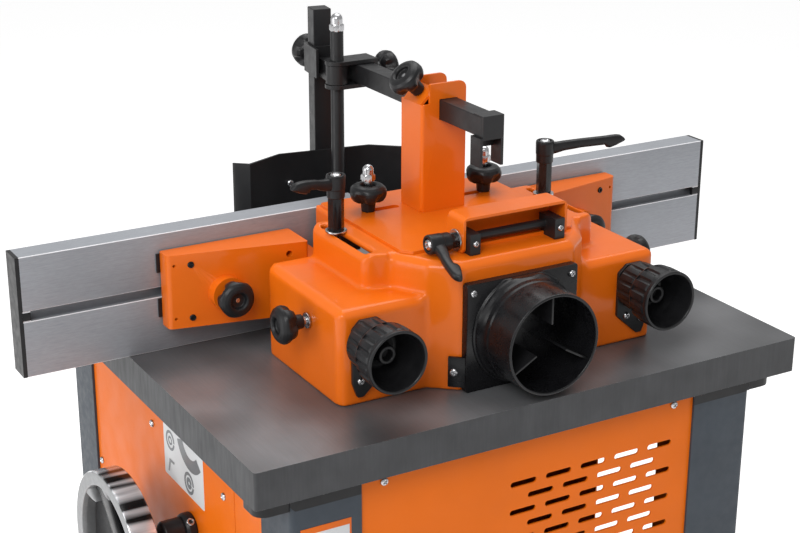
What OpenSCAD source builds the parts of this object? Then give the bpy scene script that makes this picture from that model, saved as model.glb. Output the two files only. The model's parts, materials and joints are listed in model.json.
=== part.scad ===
// Spindle moulder: cabinet machine with a cast table, an adjustable split fence,
// an extraction hood and an overhead guard on a sliding arm.
// Millimetres, +Z up. X runs along the fence, the extraction port faces -Y and
// the operator stands at +Y. The origin is on the floor under the table's centre.

/* [Table] */
// Height of the table's working face above the floor
table_h = 860; // [840:5:900]
// Size of the table along the fence
table_w = 600; // [580:5:640]
// Size of the table across the fence
table_d = 600; // [590:5:640]
// Depth of the table casting
table_t = 36; // [30:1:44]
// Thickness of the table's upper skin
table_skin = 13; // [11:1:16]
// Outer diameter of the removable table ring
ring_d = 170; // [150:2:190]
// Bore of the removable table ring
ring_bore = 84; // [80:1:100]
// Thickness of the removable table ring
ring_t = 7; // [5:0.5:9]

/* [Cabinet] */
// Cabinet size along X
cab_w = 518; // [500:2:530]
// Cabinet size along Y
cab_d = 565; // [550:2:575]
// Width of a corner post's face on the X walls
post_x = 71; // [60:1:80]
// Width of a corner post's face on the Y walls
post_y = 61; // [50:1:70]
// Sheet thickness of the corner posts
post_t = 3; // [2:0.5:4]
// Sheet thickness of the panels
panel_t = 2; // [1.5:0.5:3]
// Height of the welded base frame
base_h = 60; // [50:2:80]
// Wall of the welded base frame
base_t = 4; // [3:0.5:6]
// Height of the pads between posts and table
pad_h = 10; // [8:1:14]
// Diameter of the floor bolt holes
anchor_d = 13; // [9:1:15]
// Distance between the floor bolt holes along X
anchor_x = 430; // [410:5:450]
// Distance between the floor bolt holes along Y
anchor_y = 480; // [460:5:490]
// Width of the narrow strip beside the left door
strip_w = 65; // [50:1:80]

/* [Vents] */
// Length of a vent slot
vent_l = 29.5; // [20:0.5:34]
// Height of a vent slot
vent_h = 6; // [4:0.5:7]
// Distance between vent slots in a row
vent_px = 40.4; // [38:0.2:44]
// Distance between vent rows
vent_pz = 14.9; // [12:0.1:18]
// Rows of vent slots
vent_rows = 11; // [5:2:13]
// Slots in a long vent row
vent_cols = 5; // [3:1:6]

/* [Fence] */
// Overall length over both fence plates
fence_span = 811; // [800:1:840]
// Distance between the inner ends of the fence plates
fence_gap = 87; // [82:1:110]
// Height of the fence plates
fence_h = 120.5; // [110:0.5:130]
// Thickness of the fence plates
fence_t = 26.5; // [22:0.5:30]
// Distance of the fence's working face in front of the spindle axis
fence_y = 10; // [6:1:16]
// Opening of the fence's T-slot
tslot_w = 10; // [8:0.5:12]
// Height of the T-slot's centre
tslot_z = 61.3; // [55:0.1:66]
// Length of one fence holder
holder_l = 138; // [132:1:142]
// Thickness of a fence holder at its outer end
holder_thin = 18; // [16:1:22]
// Thickness of a fence holder at its inner end
holder_thick = 45; // [40:1:50]
// Height of a fence holder
holder_h = 75.5; // [70:0.5:80]
// Height of a fence holder's lower face above the table
holder_z = 28.5; // [26:0.5:32]
// Gap between holder and fence plate, filled by the spacers
spacer_t = 2; // [1.5:0.5:3]

/* [Hood] */
// Half width of the hood over its cheeks
hood_half = 177; // [170:1:182]
// Half width of the hood's raised middle
shoulder_half = 130; // [124:1:134]
// Height of the cheeks
cheek_h = 92.5; // [88:0.5:96]
// Height of the hood's raised middle
hood_h = 126; // [120:1:132]
// Depth of the cheeks' near face from the spindle axis
cheek_y = 222.5; // [218:0.5:226]
// Depth of the hood's nose from the spindle axis
nose_y = 243; // [238:0.5:247]
// Wall thickness of the hood casting
hood_t = 6; // [5:0.5:7]
// Width of the lever slots in the hood's shoulders
slot_w = 9; // [8.5:0.5:11]
// Distance of the lever slots from the middle
slot_x = 119.5; // [117:0.5:121]

/* [Extraction port] */
// Outer diameter of the extraction port
port_d = 98; // [90:1:100]
// Wall of the extraction port
port_wall = 3; // [2:0.5:4]
// Length of the extraction port in front of its flange
port_l = 53; // [45:1:56]
// Height of the extraction port's axis above the table
port_z = 55.4; // [54:0.1:57]
// Width of the port's flange
flange_w = 122; // [116:1:126]
// Height of the port's flange
flange_h = 107; // [104:1:110]
// Thickness of the port's flange
flange_t = 8; // [6:0.5:9]

/* [Overhead guard] */
// Thickness of the sheet parts over the hood
sheet_t = 3; // [2.5:0.5:4]
// Outer width of the guard column
column_w = 50; // [44:1:52]
// Depth of the guard column
column_d = 39; // [36:1:42]
// Height of the guard column's side wall above the plate
column_h = 108; // [100:1:115]
// Side of the square arm and mast
tube_w = 20; // [16:0.5:22]
// Wall of the square arm and mast
tube_t = 2; // [1.5:0.5:3]
// Length of the arm
arm_l = 268; // [264:1:290]
// Length of the mast
mast_l = 214; // [200:1:230]
// Height of the mast's top above the table
mast_top = 292; // [286:1:300]
// Diameter of the round rod
rod_d = 14; // [12:0.5:15]
// Length of the round rod
rod_l = 235; // [220:1:240]
// Width of the guard's middle panel
guard_mid = 102; // [90:1:110]
// Width of the guard's slanted panels
guard_side = 48; // [40:1:52]
// Height of the guard
guard_h = 88; // [70:1:90]
// Rest angle of the mast clamp about the rod
mast_turn = -8.5; // [-12:0.5:0]

/* [Controls] */
// Outer diameter of the star knobs
star_d = 37; // [34:0.5:40]
// Thickness of the star knobs
star_t = 18; // [16:0.5:20]
// Diameter of the studs in knobs and levers
stud_d = 8; // [6:0.5:8]
// Length of the right clamp lever's arm
lever_long = 85; // [78:1:90]
// Length of the left clamp lever's arm
lever_short = 54; // [50:1:62]
// Outer diameter of the micro-adjust knobs
cup_d = 60; // [56:1:62]
// Length of the micro-adjust knobs
cup_l = 55; // [48:1:58]
// Outer diameter of the handwheel
wheel_d = 190; // [170:2:200]
// Width of the handwheel's rim
rim_w = 28; // [22:1:30]
// Height of the handwheel's axis below the table
wheel_drop = 228; // [226:1:236]

/* [Spindle] */
// Diameter of the spindle
spindle_d = 30; // [28:0.5:32]
// Length of the spindle above the table at rest
spindle_up = 98; // [90:1:100]
// Outer diameter of the quill
quill_d = 78; // [74:1:80]
// Height of the spacer rings stacked on the spindle's collar
stack_h = 41; // [30:1:50]
// Diameter of the handwheel's shaft
shaft_d = 20; // [16:1:22]
// Diameter of the lift screw
screw_d = 20; // [16:1:20]
// Upward travel of the quill from rest
lift_up = 15; // [10:1:18]
// Downward travel of the quill from rest
lift_down = 65; // [50:1:70]
// Radial running clearance of shafts and sliding fits
run_c = 0.05; // [0.03:0.01:0.08]
// Clearance between parts that move past each other
gap_c = 0.3; // [0.3:0.05:0.5]
// Diameter of the spindle pulley
spindle_pulley_d = 70; // [64:1:76]
// Diameter of the motor pulley
motor_pulley_d = 120; // [110:1:124]
// Diameter of the motor's body
motor_d = 150; // [140:1:155]
// Length of the motor's body
motor_l = 210; // [190:1:220]
// Distance from spindle to motor axis
motor_y = 172; // [168:1:176]

/* [Hidden] */
$fn = 64;
e = 0.01;
orange = "darkorange";
slate = "slategray";
black = [0.15, 0.15, 0.16];
steel = "silver";
iron = [0.42, 0.43, 0.45];

cab_top = table_h - table_t - pad_h;
seam_y = -cab_d / 2 + post_y + strip_w;
vent_x = 68.4;
vent_z = table_h - 91.4;
window = [[-150, table_h - 390], [-44, table_h - 160]];
floor_t = 6;
wheel_z = table_h - wheel_drop;
wheel_in = -301;
crank_r = 66;
crank_pin_d = 10;
bearing_end = -286.5;
fence_back = fence_y - fence_t;
holder_back = fence_back - spacer_t;
holder_out = 265;
holder_in = holder_out - holder_l;
fence_in = fence_gap / 2;
fence_knob_x = 209;
cap_t = 3;
lip_t = 5;
channel_t = 7;
channel_h = 18;
boss_d = 34;
boss_l = 38;
tongue_z = 66;
tongue_h = 18;
nose_half = 62;
nose_in = 86;
nose_turn = atan2(nose_y - cheek_y, nose_half - nose_in);
tab_t = 4;
tab_l = 11.5;
tab_z = [5, 35];
hood_back = -73;
core_half = 100;
core_back = -24;
hood_edge = 6;
slot_near = -175;
slot_far = -81;
plate_half = 97;
plate_near = -211;
plate_far = -30;
plate_slot = 30;
plate_top = hood_h + sheet_t;
column_near = -107;
column_far = column_near + column_d;
column_mid = column_near + column_d / 2;
arm_x = 5;
arm_z = 230.5;
arm_near = -182;
flange_l = 15.6;
knob_tilt = 45;
knob_x = -column_w / 2 + 9;
knob_z = plate_top + column_h + 9;
corner_gap = ((arm_x - tube_w / 2 - knob_x) - (arm_z + tube_w / 2 - knob_z)) * sin(knob_tilt);
rod_x = -22;
rod_y = 72;
rod_top = 276;
bracket_z0 = arm_z - tube_w / 2 - gap_c;
bracket_z1 = arm_z + tube_w / 2 + gap_c;
bracket_t = 4.5;
bracket_r = 13;
bracket_right = arm_x + tube_w / 2 + gap_c;
mast_side = -3;
mast_out = 47;
mast_wall = 3;
clamp_z0 = 222;
clamp_z1 = 253;
guard_t = 2.5;
guard_top = 139;
cup_x = 150;
cup_z = 61.5;
cup_shaft_d = 12;
cup_screw_l = 196;
bracket_plate_t = 3.7;
side_knob_y = -160;
side_knob_z = 65;
lever_y = -108;
lever_post_h = 34;
lever_foot_d = 21;
lever_reach = 56;
plate_knob_x = 67;
plate_knob_y = -76;
cover_x0 = -48.7;
cover_x1 = 67;
cover_near = -223;
cover_far = -194;
cover_top = 160.5;
bar_y = -211;
bar_z = 137;
bar_d = 9;
block_x = [-39.8, 54];
block_w = 11;
block_near = -230;
block_far = -203;
quill_top = table_h - 42;
housing_wall = 12;
housing_l = 120;
housing_flange = 14;
bearing_d = 62;
bearing_w = 18;
arm_t = 16;
gear_r = 18;
gear_n = 16;
gear_hub = 6;
lug_h = 13;
lug_top = wheel_z - gear_r - gear_hub - gap_c;
quill_bottom = lug_top - lug_h - 0.5 - lift_up - arm_t;
pulley_w = 26;
pulley_z = quill_bottom - 12 - pulley_w;
motor_shaft_d = 24;
screw_x = -135;
thread_l = 22;
thread_d = spindle_d - 6;
ring_out = 44;
collar_z = quill_top + 3;
collar_h = 8;
switch_x = 120;
switch_z = table_h - 160;
switch_deep = 19.5;
switch_y = cab_d / 2 - post_t;
button_d = 26;
button_gap = 44;
lock_y = -50;
lock_z = table_h - 183.5;
lock_collar_d = 34;
lock_hub_d = 28;
lock_hub_l = 34;

// Points of an arc that rounds the corner p between a and b with radius r
function corner(p, a, b, r, n) =
    let (
        u = (a - p) / norm(a - p),
        v = (b - p) / norm(b - p),
        half = acos(u * v) / 2,
        c = p + (u + v) / norm(u + v) * r / sin(half),
        s = p + u * r / tan(half) - c,
        side = sign(u[0] * v[1] - u[1] * v[0]),
        sweep = -side * (180 - 2 * half)
    )
    [for (i = [0 : n]) c + turn2(s, sweep * i / n)];

// A flat vector turned by an angle
function turn2(v, a) = [v[0] * cos(a) - v[1] * sin(a), v[0] * sin(a) + v[1] * cos(a)];

// An outline whose corners are rounded, each by its own radius
function rounded(pts, radii, n = 5) =
    let (m = len(pts))
    [for (i = [0 : m - 1])
        each (radii[i] <= 0 ? [pts[i]]
            : corner(pts[i], pts[(i + m - 1) % m], pts[(i + 1) % m], radii[i], n))];

// A box between two corners
module box(lo, hi) {
    translate(lo)
        cube(hi - lo);
}

// A rod between two heights
module rod(d, z0, z1) {
    translate([0, 0, z0])
        cylinder(d = d, h = z1 - z0);
}

// Puts its children on the table's working face
module on_table() {
    translate([0, 0, table_h])
        children();
}

// Turns +Z to point along -Y
module to_near() {
    rotate([90, 0, 0])
        children();
}

// Turns +Z to point along -X
module to_left() {
    rotate([0, -90, 0])
        children();
}

// Turns +Z to point along +X
module to_right() {
    rotate([0, 90, 0])
        children();
}

// Lobed hand knob on +Z, from its neck's foot, with a stud reaching down by reach
module star_knob(neck, reach, cap) {
    lobes = 5;
    difference() {
        union() {
            rod(star_d * 0.4, 0, neck + e);
            translate([0, 0, neck])
                rotate_extrude()
                    polygon(rounded([
                        [0, 0], [star_d * 0.36, 0], [star_d / 2, star_t * 0.3],
                        [star_d / 2, star_t * 0.72], [star_d * 0.38, star_t], [0, star_t]
                    ], [0, 2, 3, 3, 3, 0], 3));
        }
        for (i = [0 : lobes - 1])
            rotate(i * 360 / lobes)
                translate([star_d * 0.56, 0, -e])
                    cylinder(d = star_d * 0.3, h = neck + star_t + 1);
    }
    translate([0, 0, -reach])
        cylinder(d = stud_d, h = reach + e);
    if (cap > 0) {
        translate([0, 0, neck + star_t - e])
            cylinder(d = stud_d, h = cap * 0.35);
        translate([0, 0, neck + star_t + 1.5])
            cylinder(d = 13, h = cap - 6);
        translate([0, 0, neck + star_t + cap - 4.5])
            cylinder(d1 = 13, d2 = 8, h = 4.5);
    }
}

// Clamp lever on +Z: hexagon post, hub and a raised arm along +X
module clamp_lever(post, arm, reach) {
    hub_h = 23;
    hub_d = 18;
    foot_h = 1.8;
    cylinder(d = lever_foot_d, h = foot_h);
    translate([0, 0, foot_h - e])
        cylinder(d = 15.6, h = post - foot_h + 2 * e, $fn = 6);
    rod(hub_d, post, post + hub_h);
    translate([0, 0, post + 8])
        rotate([90, 0, 0])
            translate([0, 0, -4])
                linear_extrude(8)
                    polygon(rounded([
                        [0, 2], [hub_d * 0.6, 0], [arm - 20, 7], [arm - 16, 3],
                        [arm, 10], [arm - 6, 17], [hub_d * 0.6, 13], [0, 14]
                    ], [0, 2, 1, 2, 3, 5, 3, 0], 3));
    rod(stud_d, -reach, e);
}

// Table: planed plate with a skirt, a hub round the spindle opening and pockets below
module table() {
    pocket_x = table_w / 2 - 62;
    pocket_y = table_d / 2 - 52;
    rib = 9;
    hub_d = 224;
    color(iron)
        difference() {
            translate([-table_w / 2, -table_d / 2, table_h - table_t])
                cube([table_w, table_d, table_t]);
            on_table()
                rod(ring_d + 2 * gap_c, -ring_t, 1);
            on_table()
                rod(ring_d - 16, -table_t - 1, 1);
            difference() {
                for (sx = [-1, 1], sy = [-1, 1])
                    translate([sx * (pocket_x + rib) / 2, sy * (pocket_y + rib) / 2, table_h - table_t - 1])
                        translate([-(pocket_x - rib) / 2, -(pocket_y - rib) / 2, 0])
                            cube([pocket_x - rib, pocket_y - rib, table_t - table_skin + 1]);
                rod(hub_d, 0, table_h);
            }
        }
}

// Loose ring that closes the table's opening round the spindle
module table_ring() {
    color(iron)
        on_table()
            difference() {
                rod(ring_d, -ring_t, 0);
                rod(ring_bore, -ring_t - 1, 1);
            }
}

// Base: folded frame with a floor that has the holes for the floor bolts
module base_frame() {
    color(slate)
        difference() {
            box([-cab_w / 2, -cab_d / 2, 0], [cab_w / 2, cab_d / 2, base_h]);
            box([-cab_w / 2 + base_t, -cab_d / 2 + base_t, floor_t],
                [cab_w / 2 - base_t, cab_d / 2 - base_t, base_h + 1]);
            for (sx = [-1, 1], sy = [-1, 1])
                translate([sx * anchor_x / 2, sy * anchor_y / 2, 0])
                    rod(anchor_d, -1, floor_t + 1);
        }
}

// Four angle posts, each with a rubber pad on it and a rubber lug at its side
module corner_posts() {
    lug_out = 31;
    lug_y = [1.5, 33];
    lug_h = 2 * pad_h;
    for (sx = [0, 1], sy = [0, 1])
        mirror([sx, 0, 0])
            mirror([0, sy, 0])
                translate([-cab_w / 2, -cab_d / 2, base_h]) {
                    color(slate)
                        difference() {
                            cube([post_x, post_y, cab_top - base_h]);
                            translate([post_t, post_t, -1])
                                cube([post_x, post_y, cab_top - base_h + 2]);
                        }
                    color(black) {
                        translate([0, 0, cab_top - base_h])
                            cube([post_x * 0.7, post_y * 0.7, pad_h]);
                        translate([0, 0, cab_top - base_h + pad_h - lug_h])
                            linear_extrude(lug_h)
                                polygon(rounded([
                                    [e, lug_y[0]], [e, lug_y[1]], [-lug_out, lug_y[1]], [-lug_out, lug_y[0]]
                                ], [0, 0, 5, 12], 5));
                    }
                }
}

// Staggered rows of obround slots, cut along +Y from their top row downwards
module vents(depth) {
    for (row = [0 : vent_rows - 1]) {
        count = vent_cols - row % 2;
        for (i = [0 : count - 1])
            translate([(i - (count - 1) / 2) * vent_px, 0, -row * vent_pz])
                rotate([-90, 0, 0])
                    translate([0, 0, -1])
                        slot(vent_l, vent_h, depth + 2);
    }
}

// An obround prism, its length along X
module slot(l, w, h) {
    for (s = [-1, 1])
        translate([s * (l - w) / 2, 0, 0])
            cylinder(d = w, h = h);
    translate([-(l - w) / 2, -w / 2, 0])
        cube([l - w, w, h]);
}

// Panel on the extraction side, with the vent slots
module vent_panel() {
    half = cab_w / 2 - post_x + 14;
    y0 = -cab_d / 2 + post_t;
    color(orange)
        difference() {
            box([-half, y0, base_h], [half, y0 + panel_t, cab_top + 5]);
            translate([vent_x, y0, vent_z])
                vents(panel_t);
        }
}

// Panel on the operator's side, with the switch opening
module front_panel() {
    half = cab_w / 2 - post_x + 14;
    color(orange)
        difference() {
            box([-half, switch_y - panel_t, base_h], [half, switch_y, cab_top + 5]);
            box([switch_x - 28, switch_y - panel_t - 1, switch_z - 33],
                [switch_x + 28, switch_y + 1, switch_z + 33]);
        }
}

// Left wall: a door with the shaft holes, and a narrow strip beside it
module left_panels() {
    half = cab_d / 2 - post_y + 14;
    x0 = -cab_w / 2 + post_t;
    color(orange) {
        box([x0, -half, base_h], [x0 + panel_t, seam_y - 0.5, cab_top + 5]);
        difference() {
            box([x0, seam_y + 0.5, base_h], [x0 + panel_t, half, cab_top + 5]);
            translate([x0 + panel_t, 0, wheel_z])
                to_left()
                    rod(shaft_d + 16 + 2 * gap_c, -1, panel_t + 1);
            translate([x0 + panel_t, lock_y, lock_z])
                to_left()
                    rod(stud_d + 1, -1, panel_t + 1);
        }
    }
}

// Right wall with its window
module right_panel() {
    half = cab_d / 2 - post_y + 14;
    x1 = cab_w / 2 - post_t;
    color(orange)
        difference() {
            box([x1 - panel_t, -half, base_h], [x1, half, cab_top + 5]);
            box([x1 - panel_t - 1, window[0][0], window[0][1]], [x1 + 1, window[1][0], window[1][1]]);
        }
}

// Dome head of a screw on +Z
module screw_head(d) {
    cylinder(d = d, h = 1.4);
    translate([0, 0, 1.4 - e])
        cylinder(d1 = d, d2 = d * 0.6, h = 1.2);
}

// Screw heads of the cabinet and of the parts on the hood
module screws() {
    panel_y = -cab_d / 2 + post_t;
    panel_x = -cab_w / 2 + post_t;
    end_x = cab_w / 2 - post_x - 24;
    door_y = seam_y + 23.5;
    far_y = cab_d / 2 - post_y - 9.5;
    low_z = base_h + 30;
    color(steel) {
        for (sy = [0, 1], x = [-end_x, end_x], z = [base_h + 24, cab_top - 5])
            mirror([0, sy, 0])
                translate([x, panel_y, z])
                    to_near()
                        screw_head(8);
        for (sx = [0, 1],
             p = [[door_y, table_h - 110], [cab_d / 12, table_h - 108],
                  [far_y, table_h - 223], [door_y, low_z], [far_y, low_z]])
            mirror([sx, 0, 0])
                translate([panel_x, p[0], p[1]])
                    to_left()
                        screw_head(8);
        for (sx = [-1, 1])
            translate([sx * 54.5, -nose_y - flange_t, table_h + 98])
                to_near()
                    screw_head(7);
        for (x = block_x)
            translate([x, block_near, table_h + bar_z])
                to_near()
                    screw_head(6);
        for (sx = [0, 1], p = [[-8, -37], [9, -32]])
            mirror([sx, 0, 0])
                translate([p[0] - cup_x, -cheek_y - bracket_plate_t, table_h + cup_z + p[1]])
                    to_near()
                        screw_head(7.5);
        translate([-nose_half, -nose_y, table_h + (tab_z[0] + tab_z[1]) / 2])
            rotate(nose_turn)
                translate([tab_l / 2, tab_t, 0])
                    rotate([-90, 0, 0])
                        screw_head(8);
    }
}

// Cast housing under the table that guides the quill and holds the screw's top
module spindle_housing() {
    top = table_h - table_t;
    outer = quill_d + 2 * housing_wall;
    web_x = [screw_x + gear_r + 5, -outer / 2 + 2];
    flange_d = 200;
    screw_pad = 18;
    color(iron)
        difference() {
            union() {
                rod(outer, top - housing_l, top);
                rod(flange_d, top - housing_flange, top);
                box([screw_x - screw_pad, -screw_pad, top - housing_flange], [0, screw_pad, top]);
                for (a = [45 : 90 : 315])
                    rotate(a)
                        box([outer / 2 - 2, -4, top - 60], [outer / 2 + 26, 4, top - housing_flange + e]);
                box([web_x[0], -6, lug_top - lug_h], [web_x[1] - 2 - e, 6, top - housing_l + e]);
                box([web_x[0], -6, top - housing_l], [web_x[1], 6, top - housing_flange + e]);
                box([screw_x, -16, lug_top - lug_h], [web_x[1] - 8, 16, lug_top]);
                translate([screw_x, 0, 0])
                    rod(32, lug_top - lug_h, lug_top);
            }
            rod(quill_d + 2 * run_c, top - housing_l - 1, top + 1);
            for (z = [lug_top - lug_h - 1, top - housing_flange - 1])
                translate([screw_x, 0, 0])
                    rod(screw_d + 2 * run_c, z, z + housing_flange + 3);
        }
}

// Flange bearing of the handwheel's shaft, on the inside of the left wall
module wheel_bearing() {
    x0 = -cab_w / 2 + post_t + panel_t;
    inner_end = screw_x - gear_r - gear_hub - 8;
    color(iron)
        translate([0, 0, wheel_z])
            to_right()
                difference() {
                    union() {
                        rod(74, x0, x0 + 6);
                        rod(shaft_d + 16, bearing_end, inner_end);
                    }
                    rod(shaft_d + 2 * run_c, bearing_end - 1, inner_end + 1);
                }
}

// Switch box with the cable gland below it
module switch_box() {
    front = switch_y + switch_deep;
    color(black) {
        difference() {
            box([switch_x - 38, switch_y, switch_z - 52], [switch_x + 38, front, switch_z + 52]);
            box([switch_x - 28, switch_y - 1, switch_z - 42], [switch_x + 28, front - 4, switch_z + 42]);
            for (s = [-1, 1])
                translate([switch_x, front + 1, switch_z + s * button_gap / 2])
                    to_near()
                        rod(button_d + 2 * gap_c, 0, 8);
        }
        translate([switch_x, switch_y + 10, switch_z - 52])
            difference() {
                rod(18, -14, e);
                rod(9, -15, -4);
            }
    }
}

// A push button, its cap in front of a wider foot inside the box
module button(side) {
    translate([switch_x, switch_y + switch_deep, switch_z + side * button_gap / 2])
        rotate([-90, 0, 0]) {
            rod(button_d, -5, 5);
            rod(button_d + 5, -9, -4 - gap_c);
        }
}

// Outline of the whole hood, drawn in by k from every face
function hood_plan(k) = [
    [-hood_half + k, -cheek_y + k], [-nose_in - k * 0.4, -cheek_y + k],
    [-nose_half + k * 0.4, -nose_y + k], [nose_half - k * 0.4, -nose_y + k],
    [nose_in + k * 0.4, -cheek_y + k], [hood_half - k, -cheek_y + k],
    [hood_half - k, hood_back], [-hood_half + k, hood_back]
];

// Outline of the hood's raised middle, drawn in by k
function raised_plan(k) = [
    [-nose_half + k * 0.4, -nose_y + k], [nose_half - k * 0.4, -nose_y + k],
    [nose_in - k * 0.7, -cheek_y + k * 0.7], [106 - k * 0.8, -188 + k * 0.8],
    [shoulder_half - k, -181 + k], [shoulder_half - k, hood_back],
    [core_half - k, hood_back], [core_half - k, core_back],
    [-core_half + k, core_back], [-core_half + k, hood_back],
    [-shoulder_half + k, hood_back], [-shoulder_half + k, -181 + k],
    [-106 + k * 0.8, -188 + k * 0.8], [-nose_in + k * 0.7, -cheek_y + k * 0.7]
];

// Wedge that bevels the top edge at height z from a to b, the hood on its left
module edge_cut(a, b, z, over = 3) {
    d = b - a;
    translate([a[0], a[1], z])
        rotate(atan2(d[1], d[0]))
            translate([-over, 0, 0])
                rotate([90, 0, 90])
                    linear_extrude(norm(d) + 2 * over)
                        polygon([[-1, -hood_edge - 1], [hood_edge + 1, 1], [-1, 1]]);
}

// Extraction hood: a casting open below and towards the fence
module hood() {
    hood_r = [10, 4, 6, 6, 4, 10, 6, 6];
    raised_r = [6, 6, 4, 14, 10, 8, 3, 3, 3, 3, 8, 10, 14, 4];
    color(orange)
        on_table()
            difference() {
                union() {
                    linear_extrude(cheek_h)
                        polygon(rounded(hood_plan(0), hood_r));
                    linear_extrude(hood_h)
                        polygon(rounded(raised_plan(0), raised_r));
                }
                translate([0, 0, -1])
                    linear_extrude(cheek_h - hood_t + 1)
                        polygon(hood_plan(hood_t));
                translate([0, 0, -1])
                    linear_extrude(hood_h - hood_t + 1)
                        polygon(raised_plan(hood_t));
                box([-hood_half + hood_t, hood_back - 1, -1],
                    [hood_half - hood_t, hood_back + 1, cheek_h - hood_t]);
                box([-shoulder_half + hood_t, hood_back - 1, -1],
                    [shoulder_half - hood_t, hood_back + 1, hood_h - hood_t]);
                box([-core_half + hood_t, core_back - 8, -1],
                    [core_half - hood_t, core_back + 1, hood_h - hood_t]);
                edge_cut([-nose_half, -nose_y], [nose_half, -nose_y], hood_h);
                for (sx = [0, 1])
                    mirror([sx, 0, 0]) {
                        edge_cut([-nose_in, -cheek_y], [-nose_half, -nose_y], hood_h);
                        edge_cut([-106, -188], [-nose_in, -cheek_y], hood_h);
                        edge_cut([-shoulder_half, hood_back], [-shoulder_half, -181], hood_h);
                        edge_cut([-hood_half, -cheek_y], [-nose_in - 8, -cheek_y], cheek_h, 1);
                        edge_cut([-hood_half, hood_back], [-hood_half, -cheek_y], cheek_h);
                    }
                translate([0, -nose_y - 1, port_z])
                    rotate([-90, 0, 0])
                        cylinder(d = port_d - 2 * port_wall, h = hood_t + 3);
                for (s = [-1, 1]) {
                    translate([s * slot_x, (slot_near + slot_far) / 2, hood_h - hood_t - 1])
                        rotate(90)
                            slot(slot_far - slot_near, slot_w, hood_t + 2);
                    translate([s * plate_knob_x, plate_knob_y, 0])
                        rod(stud_d + 2 * gap_c, hood_h - hood_t - 1, hood_h + 1);
                    translate([s * cup_x, -cheek_y - 1, cup_z])
                        rotate([-90, 0, 0])
                            cylinder(d = cup_shaft_d + 2, h = hood_t + 3);
                    translate([s * (hood_half + 1), side_knob_y, side_knob_z])
                        rotate([0, -90 * s, 0])
                            cylinder(d = stud_d + 2 * gap_c, h = hood_t + 3);
                }
            }
}

// Extraction port: flange, belled root, tube and three fins
module dust_port() {
    mouth = nose_y + flange_t + port_l;
    root = nose_y + flange_t;
    inner_d = port_d - 2 * port_wall;
    color(black)
        on_table() {
            difference() {
                union() {
                    box([-flange_w / 2, -root, 0.5], [flange_w / 2, -nose_y, flange_h]);
                    translate([0, 0, port_z])
                        to_near() {
                            rod(port_d, root - e, mouth);
                            translate([0, 0, root - e])
                                cylinder(d1 = port_d + 8, d2 = port_d, h = 10);
                        }
                    translate([-nose_half, -nose_y, 0])
                        rotate(nose_turn)
                            box([-6, gap_c, tab_z[0]], [tab_l, tab_t, tab_z[1]]);
                }
                translate([0, 0, port_z])
                    to_near()
                        rod(inner_d, nose_y - 1, mouth + 1);
            }
            translate([0, 0, port_z])
                to_near()
                    for (a = [90, 210, 330])
                        rotate(a)
                            box([inner_d / 2 - 28, -1, root + 8], [inner_d / 2 + 1, 1, mouth - 12]);
        }
}

// Plates that carry the micro-adjust knobs on the cheeks
module knob_brackets() {
    color(black)
        on_table()
            for (sx = [0, 1])
                mirror([sx, 0, 0])
                    translate([-cup_x, -cheek_y, cup_z])
                        to_near()
                            difference() {
                                linear_extrude(bracket_plate_t)
                                    polygon(rounded([
                                        [-16, -39], [-11, -53], [-5, -53], [20, -31],
                                        [20, 14], [10, 22], [-8, 22], [-16, 14]
                                    ], [2, 2, 3, 4, 4, 3, 3, 4], 3));
                                rod(cup_shaft_d + 2 * run_c, -1, bracket_plate_t + 1);
                            }
}

// Micro-adjust knob: a stepped cup on a long screw
module cup_knob() {
    inner = cup_d - 8;
    back = cup_l * 0.38;
    color(black)
        translate([0, -cheek_y - bracket_plate_t - gap_c, cup_z])
            to_near() {
                difference() {
                    union() {
                        rod(cup_d - 5, 0, back + e);
                        translate([0, 0, back])
                            cylinder(d1 = cup_d - 3, d2 = cup_d, h = 6);
                        rod(cup_d, back + 6 - e, cup_l);
                    }
                    rod(inner, 14, cup_l + 1);
                }
                rod(18, 14 - e, 30);
                rod(cup_shaft_d, -cup_screw_l, e);
            }
}

// Bar that the holder's clamp lever pulls on, grown by k
module tongue(k) {
    box([-holder_in - 9 - k, lever_y - 14, tongue_z - k],
        [-holder_in + 21 + k, holder_back - 2 + k, tongue_z + tongue_h + k]);
}

// Slanted body of a fence holder with its tongue, spacers and T-nut, left hand
module holder() {
    pts = [
        [-holder_out, holder_back], [-holder_out, holder_back - holder_thin],
        [-holder_in, holder_back - holder_thick], [-holder_in, holder_back]
    ];
    color(orange)
        difference() {
            union() {
                translate([0, 0, holder_z])
                    linear_extrude(holder_h)
                        polygon(rounded(pts, [2, 5, 2, 2], 4));
                translate([-fence_knob_x, holder_back - 10, tslot_z])
                    to_near()
                        rod(boss_d, 0, boss_l - 10);
            }
            tongue(run_c);
            translate([-fence_knob_x, fence_back, tslot_z])
                to_near()
                    rod(stud_d + 2 * gap_c, -1, 60);
            translate([-cup_x, holder_back, cup_z])
                to_near()
                    rod(cup_shaft_d + 2 * run_c, -1, 60);
            for (x = [-242, -146], z = [38.5, 93])
                translate([x, holder_back, z])
                    to_near()
                        rod(6.5, -1, 60);
            for (z = [38.5, 93])
                translate([-holder_out + 7, holder_back, z])
                    to_near()
                        rod(3, -1, 30);
        }
    color(orange)
        difference() {
            tongue(0);
            translate([-slot_x, lever_y, 0])
                rod(stud_d + 2 * run_c, 60, 90);
        }
    color(black)
        for (z = [36, 82])
            box([-holder_out - 3, holder_back, z], [-holder_out + 40, fence_back - gap_c, z + 19]);
    color(steel)
        difference() {
            box([-fence_knob_x - 16, fence_back + lip_t + gap_c, tslot_z - channel_h / 2 + 1],
                [-fence_knob_x + 16, fence_back + lip_t + channel_t - 0.6, tslot_z + channel_h / 2 - 1]);
            translate([-fence_knob_x, fence_back + 12, tslot_z])
                to_near()
                    rod(stud_d + 2 * run_c, -1, 20);
        }
}

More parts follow.
